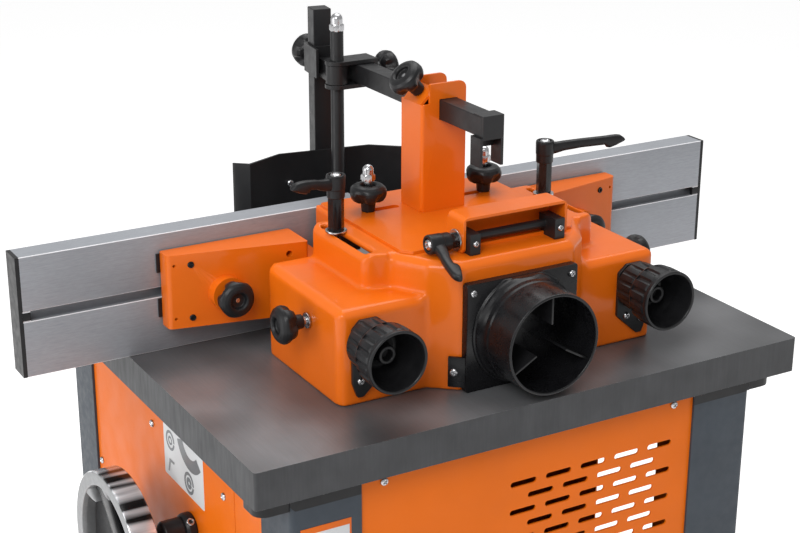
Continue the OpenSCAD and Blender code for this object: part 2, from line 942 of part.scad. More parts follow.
// Fence plate: hollow extrusion with a T-slot, left hand
module fence_plate() {
    out = fence_span / 2 - cap_t;
    color("gainsboro")
        difference() {
            box([-out, fence_back, 0.3], [-fence_in, fence_y, fence_h]);
            box([-out - 1, fence_back - 1, tslot_z - tslot_w / 2],
                [-fence_in + 1, fence_back + lip_t + 1, tslot_z + tslot_w / 2]);
            box([-out - 1, fence_back + lip_t, tslot_z - channel_h / 2],
                [-fence_in + 1, fence_back + lip_t + channel_t, tslot_z + channel_h / 2]);
            for (z = [[5, 46], [77, fence_h - 5]])
                box([-out - 1, fence_back + 4, z[0]], [-fence_in + 1, fence_y - 6, z[1]]);
        }
    color(black) {
        box([-out - cap_t, fence_back, 0.3], [-out, fence_y, fence_h]);
        box([-out, fence_back + 0.2, tslot_z - tslot_w / 2 + 0.2],
            [-out + 8.5, fence_back + 5, tslot_z + tslot_w / 2 - 0.2]);
    }
}

// Knob that clamps a fence plate through its T-slot
module fence_knob() {
    color(black)
        translate([-fence_knob_x, holder_back - boss_l - gap_c, tslot_z])
            to_near()
                star_knob(4, boss_l + gap_c + spacer_t + lip_t + 6, 0);
}

// Knob on the side of a cheek
module side_knob() {
    color(black)
        translate([-hood_half - gap_c, side_knob_y, side_knob_z])
            to_left()
                star_knob(15.5, 14, 0);
}

// Plate over the hood that carries the column
module top_plate() {
    bevel = [16, 22];
    notch = [cover_x0 + gap_c, bar_y + lever_foot_d / 2 + gap_c];
    side_y = plate_near + bevel[1];
    color(orange)
        on_table()
            translate([0, 0, hood_h])
                difference() {
                    linear_extrude(sheet_t)
                        polygon(rounded([
                            [-plate_half, plate_far], [-plate_half, side_y],
                            [-plate_half + bevel[0] * (side_y - notch[1]) / bevel[1], notch[1]],
                            notch, [notch[0], plate_near],
                            [plate_half - bevel[0], plate_near], [plate_half, side_y],
                            [plate_half, plate_far]
                        ], [4, 6, 3, 2, 2, 6, 6, 4], 4));
                    for (s = [-1, 1])
                        translate([s * (plate_knob_x - plate_slot / 2), plate_knob_y, -1])
                            slot(plate_slot + stud_d + 1, stud_d + 1, sheet_t + 2);
                }
}

// Column: bent sheet, open to the right, with tabs and a slanted clamp flange
module guard_column() {
    half = column_w / 2;
    side_top = plate_top + column_h;
    tab_x = -half + 9;
    tab_top = side_top + flange_l + 4;
    hole = tube_w / 2 + gap_c;
    color(orange)
        on_table()
            difference() {
                union() {
                    for (y = [column_near + sheet_t, column_far])
                        translate([0, y, 0])
                            rotate([90, 0, 0])
                                linear_extrude(sheet_t)
                                    polygon(rounded([
                                        [-half, plate_top], [half, plate_top], [half, tab_top],
                                        [tab_x, tab_top], [tab_x, side_top], [-half, side_top]
                                    ], [0, 0, 7, 2, 0, 0], 4));
                    translate([0, column_far - e, 0])
                        rotate([90, 0, 0])
                            linear_extrude(column_d - 2 * e)
                                polygon([
                                    [-half, plate_top], [-half + sheet_t, plate_top],
                                    [-half + sheet_t, side_top - 1], [-half + sheet_t, side_top],
                                    [-half, side_top]
                                ]);
                    translate([0, column_far - sheet_t - gap_c, 0])
                        rotate([90, 0, 0])
                            linear_extrude(column_d - 2 * sheet_t - 2 * gap_c)
                                polygon([
                                    [-half, side_top - 4], [-half + sheet_t, side_top - 4],
                                    [-half + sheet_t, side_top - 1.2],
                                    [-half + flange_l + 2.1, side_top + flange_l - 2.1],
                                    [-half + flange_l, side_top + flange_l], [-half, side_top]
                                ]);
                }
                translate([arm_x, column_near - 1, arm_z])
                    rotate([-90, 0, 0])
                        translate([-hole, -hole, 0])
                            cube([2 * hole, 2 * hole, column_d + 2]);
                translate([knob_x, column_mid, knob_z])
                    rotate([0, -knob_tilt, 0])
                        rod(stud_d + 2 * gap_c, -sheet_t - 2, 3);
            }
}

// Folded cover over the cross bar
module bar_cover() {
    cheek = rounded([
        [cover_near, hood_h + gap_c], [plate_near - gap_c, hood_h + gap_c],
        [plate_near - gap_c, plate_top], [cover_far, plate_top],
        [cover_far, cover_top], [cover_near, cover_top]
    ], [5, 0, 0, 0, 0, 0], 4);
    color(orange)
        on_table()
            difference() {
                union() {
                    box([cover_x0, cover_near, cover_top - sheet_t], [cover_x1, cover_far, cover_top]);
                    for (x = [cover_x0, cover_x1 - sheet_t])
                        translate([x, 0, 0])
                            rotate([90, 0, 90])
                                linear_extrude(sheet_t)
                                    polygon(cheek);
                    box([cover_x0, cover_far - sheet_t, plate_top], [cover_x1, cover_far, cover_top - e]);
                }
                translate([cover_x0 - 1, bar_y, bar_z])
                    to_right()
                        rod(stud_d + 2 * gap_c, 0, sheet_t + 2);
            }
}

// Cross bar between its two blocks, the left block bored for the lever's stud
module cross_bar() {
    block = [
        [block_near, hood_h], [plate_near - gap_c, hood_h],
        [plate_near - gap_c, plate_top + gap_c], [block_far, plate_top + gap_c],
        [block_far, bar_z + 9], [block_near, bar_z + 9]
    ];
    color(black)
        on_table()
            difference() {
                union() {
                    for (x = block_x)
                        translate([x - block_w / 2, 0, 0])
                            rotate([90, 0, 90])
                                linear_extrude(block_w)
                                    polygon(block);
                    translate([0, bar_y, bar_z])
                        to_right()
                            rod(bar_d, block_x[0], block_x[1]);
                }
                translate([block_x[0] - block_w / 2 - 1, bar_y, bar_z])
                    to_right()
                        rod(stud_d + 2 * gap_c, 0, block_w);
            }
}

// Lever on the cover's left cheek
module cover_lever() {
    color(black)
        on_table()
            translate([cover_x0 - gap_c, bar_y, bar_z])
                to_left()
                    rotate(-108)
                        clamp_lever(8, 56, 12);
}

// Square tube along Y
module square_tube(l) {
    difference() {
        translate([-tube_w / 2, 0, -tube_w / 2])
            cube([tube_w, l, tube_w]);
        translate([-tube_w / 2 + tube_t, -1, -tube_w / 2 + tube_t])
            cube([tube_w - 2 * tube_t, l + 2, tube_w - 2 * tube_t]);
    }
}

// Arm through the column
module arm() {
    color(black)
        on_table()
            translate([arm_x, arm_near, arm_z])
                square_tube(arm_l);
}

// Folded end stop on the arm's near end, with a leg on each side
module arm_stop() {
    half = tube_w / 2;
    wall = 3;
    near = arm_near - wall;
    back = arm_near + 14;
    top = arm_z + half + 1;
    foot = arm_z - 38;
    web = arm_z - half - 12;
    color(black)
        on_table()
            translate([arm_x, 0, 0]) {
                box([-half, near, arm_z - half - 2], [half + wall, arm_near, top]);
                box([-half, near, arm_z + half], [half + wall, back, top]);
                box([half, near, foot], [half + wall, back, top]);
                box([-half - wall, near, foot], [-half + e, back, arm_z - half]);
                box([-half - wall, back - wall, web], [half + wall, back, arm_z - half]);
            }
}

// Inclined knob on the column's flange that clamps the arm
module arm_knob() {
    color(black)
        on_table()
            translate([knob_x, column_mid, knob_z])
                rotate([0, -knob_tilt, 0])
                    translate([0, 0, gap_c])
                        star_knob(12, corner_gap + gap_c - run_c, 0);
}

// Bracket at the arm's far end that holds the round rod
module arm_bracket() {
    right = bracket_right + bracket_t;
    color(black)
        on_table()
            difference() {
                union() {
                    for (z = [bracket_z0 - bracket_t, bracket_z1]) {
                        translate([rod_x, rod_y, 0])
                            rod(2 * bracket_r, z, z + bracket_t);
                        box([rod_x, rod_y - bracket_r, z], [right, rod_y + bracket_r, z + bracket_t]);
                    }
                    box([bracket_right, rod_y - bracket_r, bracket_z0 - e],
                        [right, rod_y + bracket_r, bracket_z1 + e]);
                }
                translate([rod_x, rod_y, 0])
                    rod(rod_d + 2 * run_c, bracket_z0 - bracket_t - 1, bracket_z1 + bracket_t + 1);
                translate([bracket_right - 1, rod_y, arm_z])
                    to_right()
                        rod(stud_d + 2 * run_c, 0, bracket_t + 2);
            }
}

// Knob that clamps the bracket on the arm
module bracket_knob() {
    color(black)
        on_table()
            translate([bracket_right + bracket_t + gap_c, rod_y, arm_z])
                to_right()
                    star_knob(8, bracket_t + gap_c, 0);
}

// Round rod with its cap nut and foot
module guide_rod() {
    color(black)
        on_table()
            translate([rod_x, rod_y, 0]) {
                rod(rod_d, rod_top - rod_l, rod_top);
                rod(24, rod_top - rod_l - 8, rod_top - rod_l + e);
                rod(15.5, rod_top - e, rod_top + 12);
                translate([0, 0, rod_top + 12 - e])
                    cylinder(d1 = 15.5, d2 = 8, h = 6.5);
            }
}

// Puts its children in the frame of the mast clamp, its axis on the round rod
module at_clamp() {
    on_table()
        translate([rod_x, rod_y, 0])
            rotate(mast_turn)
                children();
}

// Swivelling clamp that holds the mast
module mast_clamp() {
    half = tube_w / 2 + gap_c;
    far = mast_out + half;
    near = mast_out - half;
    color(black)
        at_clamp()
            difference() {
                union() {
                    rod(24, bracket_z0 + gap_c, bracket_z1 - gap_c);
                    box([-8, 0, bracket_z0 + gap_c], [8, near, bracket_z1 - gap_c]);
                    for (x = [-half - mast_wall, half])
                        box([mast_side + x, 20, clamp_z0],
                            [mast_side + x + mast_wall, far + mast_wall, clamp_z1]);
                    box([mast_side - half, near - mast_wall, clamp_z0], [mast_side + half, near, clamp_z1]);
                    box([mast_side - half, far, clamp_z0], [mast_side + half, far + mast_wall, clamp_z1]);
                }
                rod(rod_d + 2 * run_c, clamp_z0 - 10, clamp_z1 + 10);
                translate([mast_side, far - 1, (clamp_z0 + clamp_z1) / 2])
                    rotate([-90, 0, 0])
                        rod(stud_d + 2 * run_c, 0, mast_wall + 2);
            }
}

// Knob that clamps the mast
module mast_knob() {
    far = mast_out + tube_w / 2 + gap_c + mast_wall;
    color(black)
        at_clamp()
            translate([mast_side, far + gap_c, (clamp_z0 + clamp_z1) / 2])
                rotate([-90, 0, 0])
                    star_knob(16, mast_wall + gap_c, 0);
}

// Square mast with a closed top
module mast() {
    color(black)
        at_clamp()
            translate([mast_side, mast_out, mast_top]) {
                rotate([-90, 0, 0])
                    square_tube(mast_l);
                translate([-tube_w / 2, -tube_w / 2, -tube_t])
                    cube([tube_w, tube_w, tube_t]);
            }
}

// Bent sheet guard on the mast
module guard() {
    mid = guard_mid / 2;
    flare = 32;
    bend = [mid + guard_side * cos(flare), -guard_side * sin(flare)];
    lip = bend + [14, 11];
    y0 = mast_out - tube_w / 2 - guard_t;
    t = guard_t;
    path = [
        [-lip[0], lip[1]], [-bend[0], bend[1]], [-mid, 0], [mid, 0],
        [bend[0], bend[1]], [lip[0], lip[1]], [lip[0] + 0.7 * t, lip[1] + 0.8 * t],
        [bend[0], bend[1] + 1.5 * t], [mid + 0.3 * t, t], [-mid - 0.3 * t, t],
        [-bend[0], bend[1] + 1.5 * t], [-lip[0] - 0.7 * t, lip[1] + 0.8 * t]
    ];
    color(black)
        at_clamp()
            translate([mast_side, y0, guard_top - guard_h])
                linear_extrude(guard_h)
                    polygon(path);
}

// Quill with the arms that carry the lift nut and the motor
module quill() {
    bottom = quill_bottom;
    arm_half = 45;
    pad_r = 62;
    shaft_hole = 46;
    color(iron)
        difference() {
            union() {
                rod(quill_d, bottom, quill_top);
                rod(quill_d + 12, bottom, bottom + arm_t);
                box([screw_x, -16, bottom], [0, 16, bottom + arm_t]);
                translate([screw_x, 0, 0])
                    rod(38, bottom - 8, bottom + arm_t);
                box([-arm_half, 0, bottom], [arm_half, motor_y + pad_r, bottom + arm_t]);
            }
            rod(bearing_d + 2 * run_c, bottom - 1, bottom + bearing_w);
            rod(bearing_d + 2 * run_c, quill_top - bearing_w, quill_top + 1);
            rod(spindle_d + 10, bottom - 2, quill_top + 2);
            translate([screw_x, 0, 0])
                rod(screw_d + 2 * run_c, bottom - 9, bottom + arm_t + 1);
            translate([0, motor_y, 0])
                rod(shaft_hole, bottom - 1, bottom + arm_t + 1);
        }
}

// Rolling bearings of the spindle
module spindle_bearings() {
    color(steel)
        for (z = [quill_bottom, quill_top - bearing_w])
            difference() {
                rod(bearing_d, z, z + bearing_w);
                rod(spindle_d + 2 * run_c, z - 1, z + bearing_w + 1);
            }
}

// Motor on the quill's arm, with cooling ribs
module motor() {
    base = quill_bottom + arm_t;
    rib_n = 20;
    terminal = [[-32, 55, base + 50], [32, 88, base + 120]];
    color([0.3, 0.33, 0.36])
        translate([0, motor_y, 0])
            difference() {
                union() {
                    rod(motor_d - 14, base, base + motor_l);
                    rod(motor_d, base, base + 14);
                    rod(motor_d, base + motor_l - 34, base + motor_l);
                    for (i = [0 : rib_n - 1])
                        rotate(i * 360 / rib_n)
                            box([motor_d / 2 - 10, -1.5, base + 10],
                                [motor_d / 2 - 1, 1.5, base + motor_l - 30]);
                    box(terminal[0], terminal[1]);
                }
                rod(motor_shaft_d + 2 * run_c, base - 1, base + motor_l - 20);
            }
}

// Two circles on Y joined by their outer tangents
module belt_plan(r0, r1, l) {
    b = asin((r0 - r1) / l);
    circle(r = r0);
    translate([0, l])
        circle(r = r1);
    polygon([
        [r0 * cos(b), r0 * sin(b)], [r1 * cos(b), l + r1 * sin(b)],
        [-r1 * cos(b), l + r1 * sin(b)], [-r0 * cos(b), r0 * sin(b)]
    ]);
}

// Flat drive belt
module drive_belt() {
    r0 = spindle_pulley_d / 2 + gap_c;
    r1 = motor_pulley_d / 2 + gap_c;
    belt_t = 4;
    color(black)
        translate([0, 0, pulley_z + 3])
            difference() {
                linear_extrude(pulley_w - 6)
                    belt_plan(r0 + belt_t, r1 + belt_t, motor_y);
                translate([0, 0, -1])
                    linear_extrude(pulley_w - 4)
                        belt_plan(r0, r1, motor_y);
            }
}

// Flanged pulley with a bore
module pulley(d, bore) {
    difference() {
        union() {
            rod(d, pulley_z, pulley_z + pulley_w);
            rod(d + 10, pulley_z, pulley_z + 2);
            rod(d + 10, pulley_z + pulley_w - 2, pulley_z + pulley_w);
        }
        if (bore > 0)
            rod(bore, pulley_z - 1, pulley_z + pulley_w + 1);
    }
}

// Spindle with its collar and threaded top
module spindle() {
    top = table_h + spindle_up;
    color(steel) {
        rod(thread_d, pulley_z, quill_bottom + e);
        rod(spindle_d, quill_bottom, top - thread_l);
        rod(thread_d, top - thread_l - e, top);
        rod(ring_out, collar_z, collar_z + collar_h);
    }
}

// Spacer rings stacked on the spindle's collar
module spacer_rings() {
    z0 = collar_z + collar_h;
    shares = [0, 0.12, 0.3, 0.56, 1];
    color(steel)
        for (i = [0 : len(shares) - 2])
            difference() {
                rod(ring_out, z0 + stack_h * shares[i], z0 + stack_h * shares[i + 1]);
                rod(spindle_d + 2 * run_c, z0 - 1, z0 + stack_h + 1);
            }
}

// Nut on the spindle's thread
module spindle_nut() {
    z0 = table_h + spindle_up - thread_l;
    color(steel)
        difference() {
            union() {
                rod(46, z0, z0 + 4);
                translate([0, 0, z0 + 4 - e])
                    cylinder(d = 41, h = thread_l - 8, $fn = 6);
            }
            rod(thread_d + 2 * run_c, z0 - 1, z0 + thread_l);
        }
}

// Pulley on the spindle
module spindle_pulley() {
    color(iron)
        pulley(spindle_pulley_d, thread_d + 2 * run_c);
}

// Motor pulley with the shaft that runs up into the motor
module motor_pulley() {
    color(iron)
        translate([0, motor_y, 0]) {
            pulley(motor_pulley_d, 0);
            rod(motor_shaft_d, pulley_z + pulley_w - e, quill_bottom + arm_t + motor_l - 24);
        }
}

// Handwheel: broad rim, dished web and hub on the shaft's end
module handwheel() {
    r = wheel_d / 2;
    bore = shaft_d / 2 + run_c;
    color(steel)
        translate([wheel_in, 0, wheel_z])
            to_left()
                difference() {
                    rotate_extrude($fn = 96)
                        polygon([
                            [bore, -14], [20, -14], [22, 2], [r - 20, 10], [r - 17, 0],
                            [r - 11, 0], [r - 1, rim_w * 0.6], [r, rim_w * 0.8],
                            [r - 1.5, rim_w], [r - 12, rim_w], [r - 17, 17], [24, 8],
                            [20, 12], [bore, 12]
                        ]);
                    translate([-crank_r, 0, -1])
                        cylinder(d = crank_pin_d + 2 * run_c, h = rim_w + 2);
                }
}

// Shaft of the handwheel with its mitre gear
module wheel_shaft() {
    color(steel)
        translate([screw_x, 0, wheel_z])
            to_left() {
                mitre_gear(0);
                rod(shaft_d, gear_r + gear_hub - e, screw_x - wheel_in + 12);
            }
}

// Mitre gear on +Z with its apex at the origin, its first slot turned by phase
module mitre_gear(phase) {
    inner = 11;
    tip = 1;
    root = 1.3;
    share = 0.3;
    slope = share * 360 / gear_n * PI / 180 / sqrt(2);
    difference() {
        union() {
            translate([0, 0, inner])
                cylinder(r1 = inner + tip * sqrt(2), r2 = gear_r + tip * sqrt(2), h = gear_r - inner);
            translate([0, 0, gear_r - e])
                cylinder(r1 = gear_r + tip * sqrt(2), r2 = gear_r - 5, h = gear_hub);
        }
        for (i = [0 : gear_n - 1])
            rotate(i * 360 / gear_n + phase)
                rotate([0, -45, 0])
                    translate([0, 0, -6])
                        linear_extrude(6 + root)
                            polygon([
                                [8, -8 * slope], [40, -40 * slope], [40, 40 * slope], [8, 8 * slope]
                            ]);
    }
}

// Crank knob that turns on its pin
module crank_knob() {
    color(black)
        translate([wheel_in, 0, wheel_z])
            to_left()
                translate([-crank_r, 0, 0]) {
                    rod(crank_pin_d, 8, rim_w + 2);
                    translate([0, 0, 18])
                        rotate_extrude()
                            polygon(rounded([
                                [0, 0], [8, 0], [12, 14], [12.5, 36], [9, 54], [0, 54]
                            ], [0, 2, 6, 6, 5, 0], 3));
                }
}

// Lift screw with its mitre gear
module lift_screw() {
    color(steel)
        translate([screw_x, 0, 0]) {
            rod(screw_d, quill_bottom - lift_down - 18, table_h - table_t - 2);
            translate([0, 0, wheel_z])
                rotate([180, 0, 0])
                    mitre_gear(180 / gear_n);
        }
}

// Lever that locks the quill's height: collar, round hub and an arm that hangs down
module lock_lever() {
    collar_l = 12;
    arm_l = 58;
    arm_w = 12;
    flat = [16, 27];
    color(black)
        translate([-cab_w / 2 + post_t - gap_c, lock_y, lock_z])
            to_left() {
                rod(lock_collar_d, 0, collar_l);
                rod(lock_hub_d, collar_l - e, lock_hub_l);
                box([-arm_l, -arm_w / 2, flat[0]], [0, arm_w / 2, flat[1]]);
                translate([-arm_l, 0, 0])
                    rod(arm_w, flat[0], flat[1]);
                rod(stud_d, -12, e);
            }
}

// Lever and post that lock a fence holder, left hand, its arm turned by angle
module holder_lever(arm, angle) {
    color(black)
        on_table()
            translate([-slot_x, lever_y, hood_h + gap_c])
                rotate(angle)
                    clamp_lever(lever_post_h, arm, lever_reach);
}

// Knob on the top plate with its cap nut
module plate_knob() {
    color(black)
        on_table()
            translate([-plate_knob_x, plate_knob_y, plate_top + gap_c])
                star_knob(9.5, sheet_t + hood_t + 2, 21);
}

base_frame();
corner_posts();
vent_panel();
front_panel();
left_panels();
right_panel();
screws();
table();
table_ring();
spindle_housing();
wheel_bearing();
switch_box();
hood();
dust_port();
knob_brackets();
quill();
spindle_bearings();
motor();
drive_belt();
spindle();
spacer_rings();
spindle_nut();
spindle_pulley();
motor_pulley();
handwheel();
wheel_shaft();
crank_knob();
lift_screw();
lock_lever();
on_table() holder();  // left_holder
on_table() fence_plate();  // left_fence
on_table() fence_knob();  // left_fence_knob
on_table() mirror([1, 0, 0]) holder();  // right_holder
on_table() mirror([1, 0, 0]) fence_plate();  // right_fence
on_table() mirror([1, 0, 0]) fence_knob();  // right_fence_knob
on_table() translate([-cup_x, 0, 0]) cup_knob();  // left_cup_knob
on_table() translate([cup_x, 0, 0]) cup_knob();  // right_cup_knob
on_table() side_knob();  // left_side_knob
on_table() mirror([1, 0, 0]) side_knob();  // right_side_knob
holder_lever(lever_short, 193);  // left_clamp_lever
mirror([1, 0, 0]) holder_lever(lever_long, 197);  // right_clamp_lever
top_plate();
guard_column();
bar_cover();
cross_bar();
cover_lever();
plate_knob();  // left_plate_knob
mirror([1, 0, 0]) plate_knob();  // right_plate_knob
arm();
arm_knob();
arm_stop();
arm_bracket();
bracket_knob();
guide_rod();
mast_clamp();
mast_knob();
mast();
guard();
color("green") button(1);  // start_button
color("red") button(-1);  // stop_button
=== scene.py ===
"""Looks of the spindle moulder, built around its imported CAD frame.

Shapes are drawn in millimetres in the frame's axes (origin on the floor under the
spindle, +Z up, the extraction port towards -Y) and turned into metres by piece().
"""

import json
import math

import bmesh
import bpy
from mathutils import Matrix, Vector

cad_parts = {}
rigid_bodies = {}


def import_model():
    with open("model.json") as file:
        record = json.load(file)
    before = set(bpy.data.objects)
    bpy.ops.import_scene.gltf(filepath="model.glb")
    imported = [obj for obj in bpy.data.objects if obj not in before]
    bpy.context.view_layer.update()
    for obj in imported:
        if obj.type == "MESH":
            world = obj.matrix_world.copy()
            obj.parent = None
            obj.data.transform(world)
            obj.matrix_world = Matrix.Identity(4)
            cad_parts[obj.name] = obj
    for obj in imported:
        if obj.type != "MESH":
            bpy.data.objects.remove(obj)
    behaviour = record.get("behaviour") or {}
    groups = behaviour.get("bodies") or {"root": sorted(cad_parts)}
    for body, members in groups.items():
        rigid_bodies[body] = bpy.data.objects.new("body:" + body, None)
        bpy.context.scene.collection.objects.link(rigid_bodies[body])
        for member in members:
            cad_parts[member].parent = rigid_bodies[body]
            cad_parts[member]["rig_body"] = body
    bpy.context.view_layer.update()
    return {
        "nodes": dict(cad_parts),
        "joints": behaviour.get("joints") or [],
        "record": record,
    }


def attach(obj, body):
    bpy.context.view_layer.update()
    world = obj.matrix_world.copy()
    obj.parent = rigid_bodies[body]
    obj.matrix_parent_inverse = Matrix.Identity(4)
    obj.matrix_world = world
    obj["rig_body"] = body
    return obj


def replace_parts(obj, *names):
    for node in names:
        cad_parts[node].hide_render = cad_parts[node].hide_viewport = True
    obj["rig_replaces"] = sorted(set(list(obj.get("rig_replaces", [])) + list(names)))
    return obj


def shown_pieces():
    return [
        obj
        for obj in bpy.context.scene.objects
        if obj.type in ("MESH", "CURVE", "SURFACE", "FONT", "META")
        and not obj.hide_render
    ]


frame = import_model()

MM = 0.001
NODES = frame["nodes"]
JOINTS = {j["name"]: j for j in frame["joints"]}
SLOT = {s["node"]: s["material_slot"] for s in frame["record"]["subparts"]}
SIDES = {"left": -1, "right": 1}

# Heights and places shared with the construction, in millimetres
TABLE = 860
CHEEK_FACE = -222.5
NOSE_FACE = -243
PORT_AXIS = 55.4
# The hood's slanted face beside the port's nose, which carries the port's tab
NOSE_CORNER = Vector((-62, NOSE_FACE, TABLE))
NOSE_ALONG = Vector((-24, 20.5, 0)).normalized()
NOSE_NORMAL = Vector((-20.5, -24, 0)).normalized()
SCREW_HEIGHT = 2.6
# The posts' outer corner, and the undersides of their rubber pads and side lugs
POST_X, POST_Y = 259, 282.5
PAD_BOTTOM, LUG_BOTTOM = TABLE - 46.1, TABLE - 56.1
TABLE_HALF = 300


# Materials


class Finish:
    """A node-based material whose patterns follow the object's own coordinates."""

    def __init__(self, name, colour, roughness, metallic=0.0, coat=0.0, specular=0.5):
        self.material = bpy.data.materials.new(name)
        self.material.use_nodes = True
        self.tree = self.material.node_tree
        self.shader = self.tree.nodes["Principled BSDF"]
        self.colour = (*colour, 1)
        self.shader.inputs["Base Color"].default_value = self.colour
        self.shader.inputs["Roughness"].default_value = roughness
        self.shader.inputs["Metallic"].default_value = metallic
        self.shader.inputs["Coat Weight"].default_value = coat
        self.shader.inputs["Coat Roughness"].default_value = 0.1
        self.shader.inputs["Specular IOR Level"].default_value = specular
        self.place = self.tree.nodes.new("ShaderNodeTexCoord").outputs["Object"]
        self.height = None

    def noise(self, size, stretch=(1, 1, 1), detail=3.0):
        """A noise with features of about `size` millimetres, drawn out by stretch."""
        mapping = self.tree.nodes.new("ShaderNodeMapping")
        mapping.inputs["Scale"].default_value = [1 / s for s in stretch]
        self.tree.links.new(self.place, mapping.inputs["Vector"])
        noise = self.tree.nodes.new("ShaderNodeTexNoise")
        noise.inputs["Scale"].default_value = 1 / (size * MM)
        noise.inputs["Detail"].default_value = detail
        self.tree.links.new(mapping.outputs["Vector"], noise.inputs["Vector"])
        return noise.outputs["Fac"]

    def between(self, value, low, high, start=0.3, end=0.7):
        """The value spread over low to high."""
        node = self.tree.nodes.new("ShaderNodeMapRange")
        node.inputs["From Min"].default_value = start
        node.inputs["From Max"].default_value = end
        node.inputs["To Min"].default_value = low
        node.inputs["To Max"].default_value = high
        self.tree.links.new(value, node.inputs["Value"])
        return node.outputs["Result"]

    def shade(self, value, low, high, start=0.3, end=0.7):
        """Multiplies the colour by low to high as the value rises from start to end."""
        scale = self.tree.nodes.new("ShaderNodeVectorMath")
        scale.operation = "SCALE"
        source = self.shader.inputs["Base Color"]
        if source.is_linked:
            self.tree.links.new(source.links[0].from_socket, scale.inputs[0])
        else:
            scale.inputs[0].default_value = self.colour[:3]
        self.tree.links.new(self.between(value, low, high, start, end), scale.inputs["Scale"])
        self.tree.links.new(scale.outputs["Vector"], source)
        return self

    def roughen(self, value, low, high):
        self.tree.links.new(self.between(value, low, high), self.shader.inputs["Roughness"])
        return self

    def bump(self, value, depth):
        """Relief of about `depth` millimetres; a second call adds to the first."""
        node = self.tree.nodes.new("ShaderNodeBump")
        node.inputs["Distance"].default_value = depth * MM
        self.tree.links.new(value, node.inputs["Height"])
        if self.height:
            self.tree.links.new(self.height, node.inputs["Normal"])
        self.height = node.outputs["Normal"]
        self.tree.links.new(self.height, self.shader.inputs["Normal"])
        return self


def paint(name, colour, peel=0.04, roughness=0.36, coat=0.3, mottle=0.03):
    """Sprayed enamel with a slight orange peel and uneven gloss."""
    f = Finish(name, colour, roughness, coat=coat, specular=0.2)
    f.shade(f.noise(60), 1 - mottle, 1 + mottle)
    f.roughen(f.noise(25), roughness - 0.05, roughness + 0.07)
    f.bump(f.noise(5, detail=1), peel)
    return f.material


def powder(name, colour, grain=0.05, roughness=0.5):
    """Fine textured powder coat."""
    f = Finish(name, colour, roughness, specular=0.35)
    f.shade(f.noise(40), 0.93, 1.07)
    f.roughen(f.noise(8), roughness - 0.06, roughness + 0.08)
    f.bump(f.noise(0.9, detail=2), grain)
    return f.material


def plastic(name, colour, roughness=0.42, grain=0.02):
    """Moulded plastic with a faint grain and a few scuffs."""
    f = Finish(name, colour, roughness, specular=0.3)
    f.shade(f.noise(12), 0.85, 1.2)
    f.roughen(f.noise(9), roughness - 0.08, roughness + 0.1)
    f.bump(f.noise(0.8, detail=2), grain)
    return f.material


def metal(name, colour, roughness, streak=(1, 1, 1), size=0.6, depth=0.01, mottle=0.08):
    """Bare metal whose grain is drawn out along the axes that streak stretches."""
    f = Finish(name, colour, roughness, metallic=1.0)
    f.shade(f.noise(size, streak), 1 - mottle, 1 + mottle)
    f.shade(f.noise(90), 0.94, 1.06)
    f.roughen(f.noise(size * 2, streak), roughness - 0.06, roughness + 0.08)
    f.bump(f.noise(size, streak), depth)
    return f.material


def casting(name, colour, roughness=0.6, metallic=0.4, grain=0.25):
    """Rough cast iron."""
    f = Finish(name, colour, roughness, metallic=metallic)
    f.shade(f.noise(14), 0.8, 1.2)
    f.shade(f.noise(2.2, detail=4), 0.88, 1.12)
    f.roughen(f.noise(5), roughness - 0.1, roughness + 0.12)
    f.bump(f.noise(2.4, detail=4), grain)
    return f.material


def ground_plate(name):
    """Ground iron: dark, with fine grinding lines along Y and broad soft light and dark clouds that are
    painted reflections of a studio.
    """
    f = Finish(name, (0.125, 0.127, 0.132), 0.36, metallic=0.35)
    f.shade(f.noise(0.7, (1, 60, 1)), 0.94, 1.06)
    # Painted reflection: broad clouds that lighten and darken the top stand in for the studio mirrored in
    # it.
    f.shade(f.noise(150, detail=1), 0.5, 1.5, 0.36, 0.64)
    f.shade(f.noise(60, detail=4), 0.92, 1.08)
    f.roughen(f.noise(90, detail=3), 0.3, 0.42)
    f.bump(f.noise(0.7, (1, 60, 1)), 0.006)
    return f.material


def milled_side(name):
    """The table's rim: rough iron with upright milling marks."""
    f = Finish(name, (0.045, 0.046, 0.049), 0.48, metallic=0.3)
    f.shade(f.noise(1.6, (1, 1, 14)), 0.93, 1.08)
    f.shade(f.noise(30), 0.86, 1.16)
    f.roughen(f.noise(6, (1, 1, 6)), 0.42, 0.56)
    f.bump(f.noise(1.2, (1, 1, 10)), 0.012)
    return f.material


def brushed_plate(name):
    """Brushed, anodised extrusion: fine lines along X and a light sparkle."""
    f = Finish(name, (0.335, 0.35, 0.378), 0.44, metallic=0.45)
    f.shade(f.noise(0.5, (70, 1, 1)), 0.92, 1.08)
    f.shade(f.noise(1.3, (5, 1, 1), detail=2), 0.95, 1.05)
    f.shade(f.noise(110), 0.95, 1.05)
    f.roughen(f.noise(1.0, (30, 1, 1)), 0.38, 0.52)
    f.bump(f.noise(0.5, (70, 1, 1)), 0.006)
    return f.material


def chrome(name):
    """Chromed iron with painted reflections: bright and dark bands of colour across the rim stand in for a
    mirrored studio.
    """
    f = Finish(name, (0.52, 0.53, 0.55), 0.14, metallic=0.55, coat=0.3)
    # Painted reflection: these two shades make the bright and dark bands of a mirrored studio.
    f.shade(f.noise(15, (12, 1, 1), detail=1.5), 0.04, 1.75, 0.43, 0.57)
    f.shade(f.noise(5, (12, 1, 1), detail=1), 0.75, 1.2)
    f.roughen(f.noise(20), 0.1, 0.2)
    f.bump(f.noise(30, detail=1), 0.02)
    return f.material


ORANGE = (0.76, 0.142, 0.004)
BLACK = (0.01, 0.01, 0.011)
ZINC = (0.5, 0.5, 0.51)

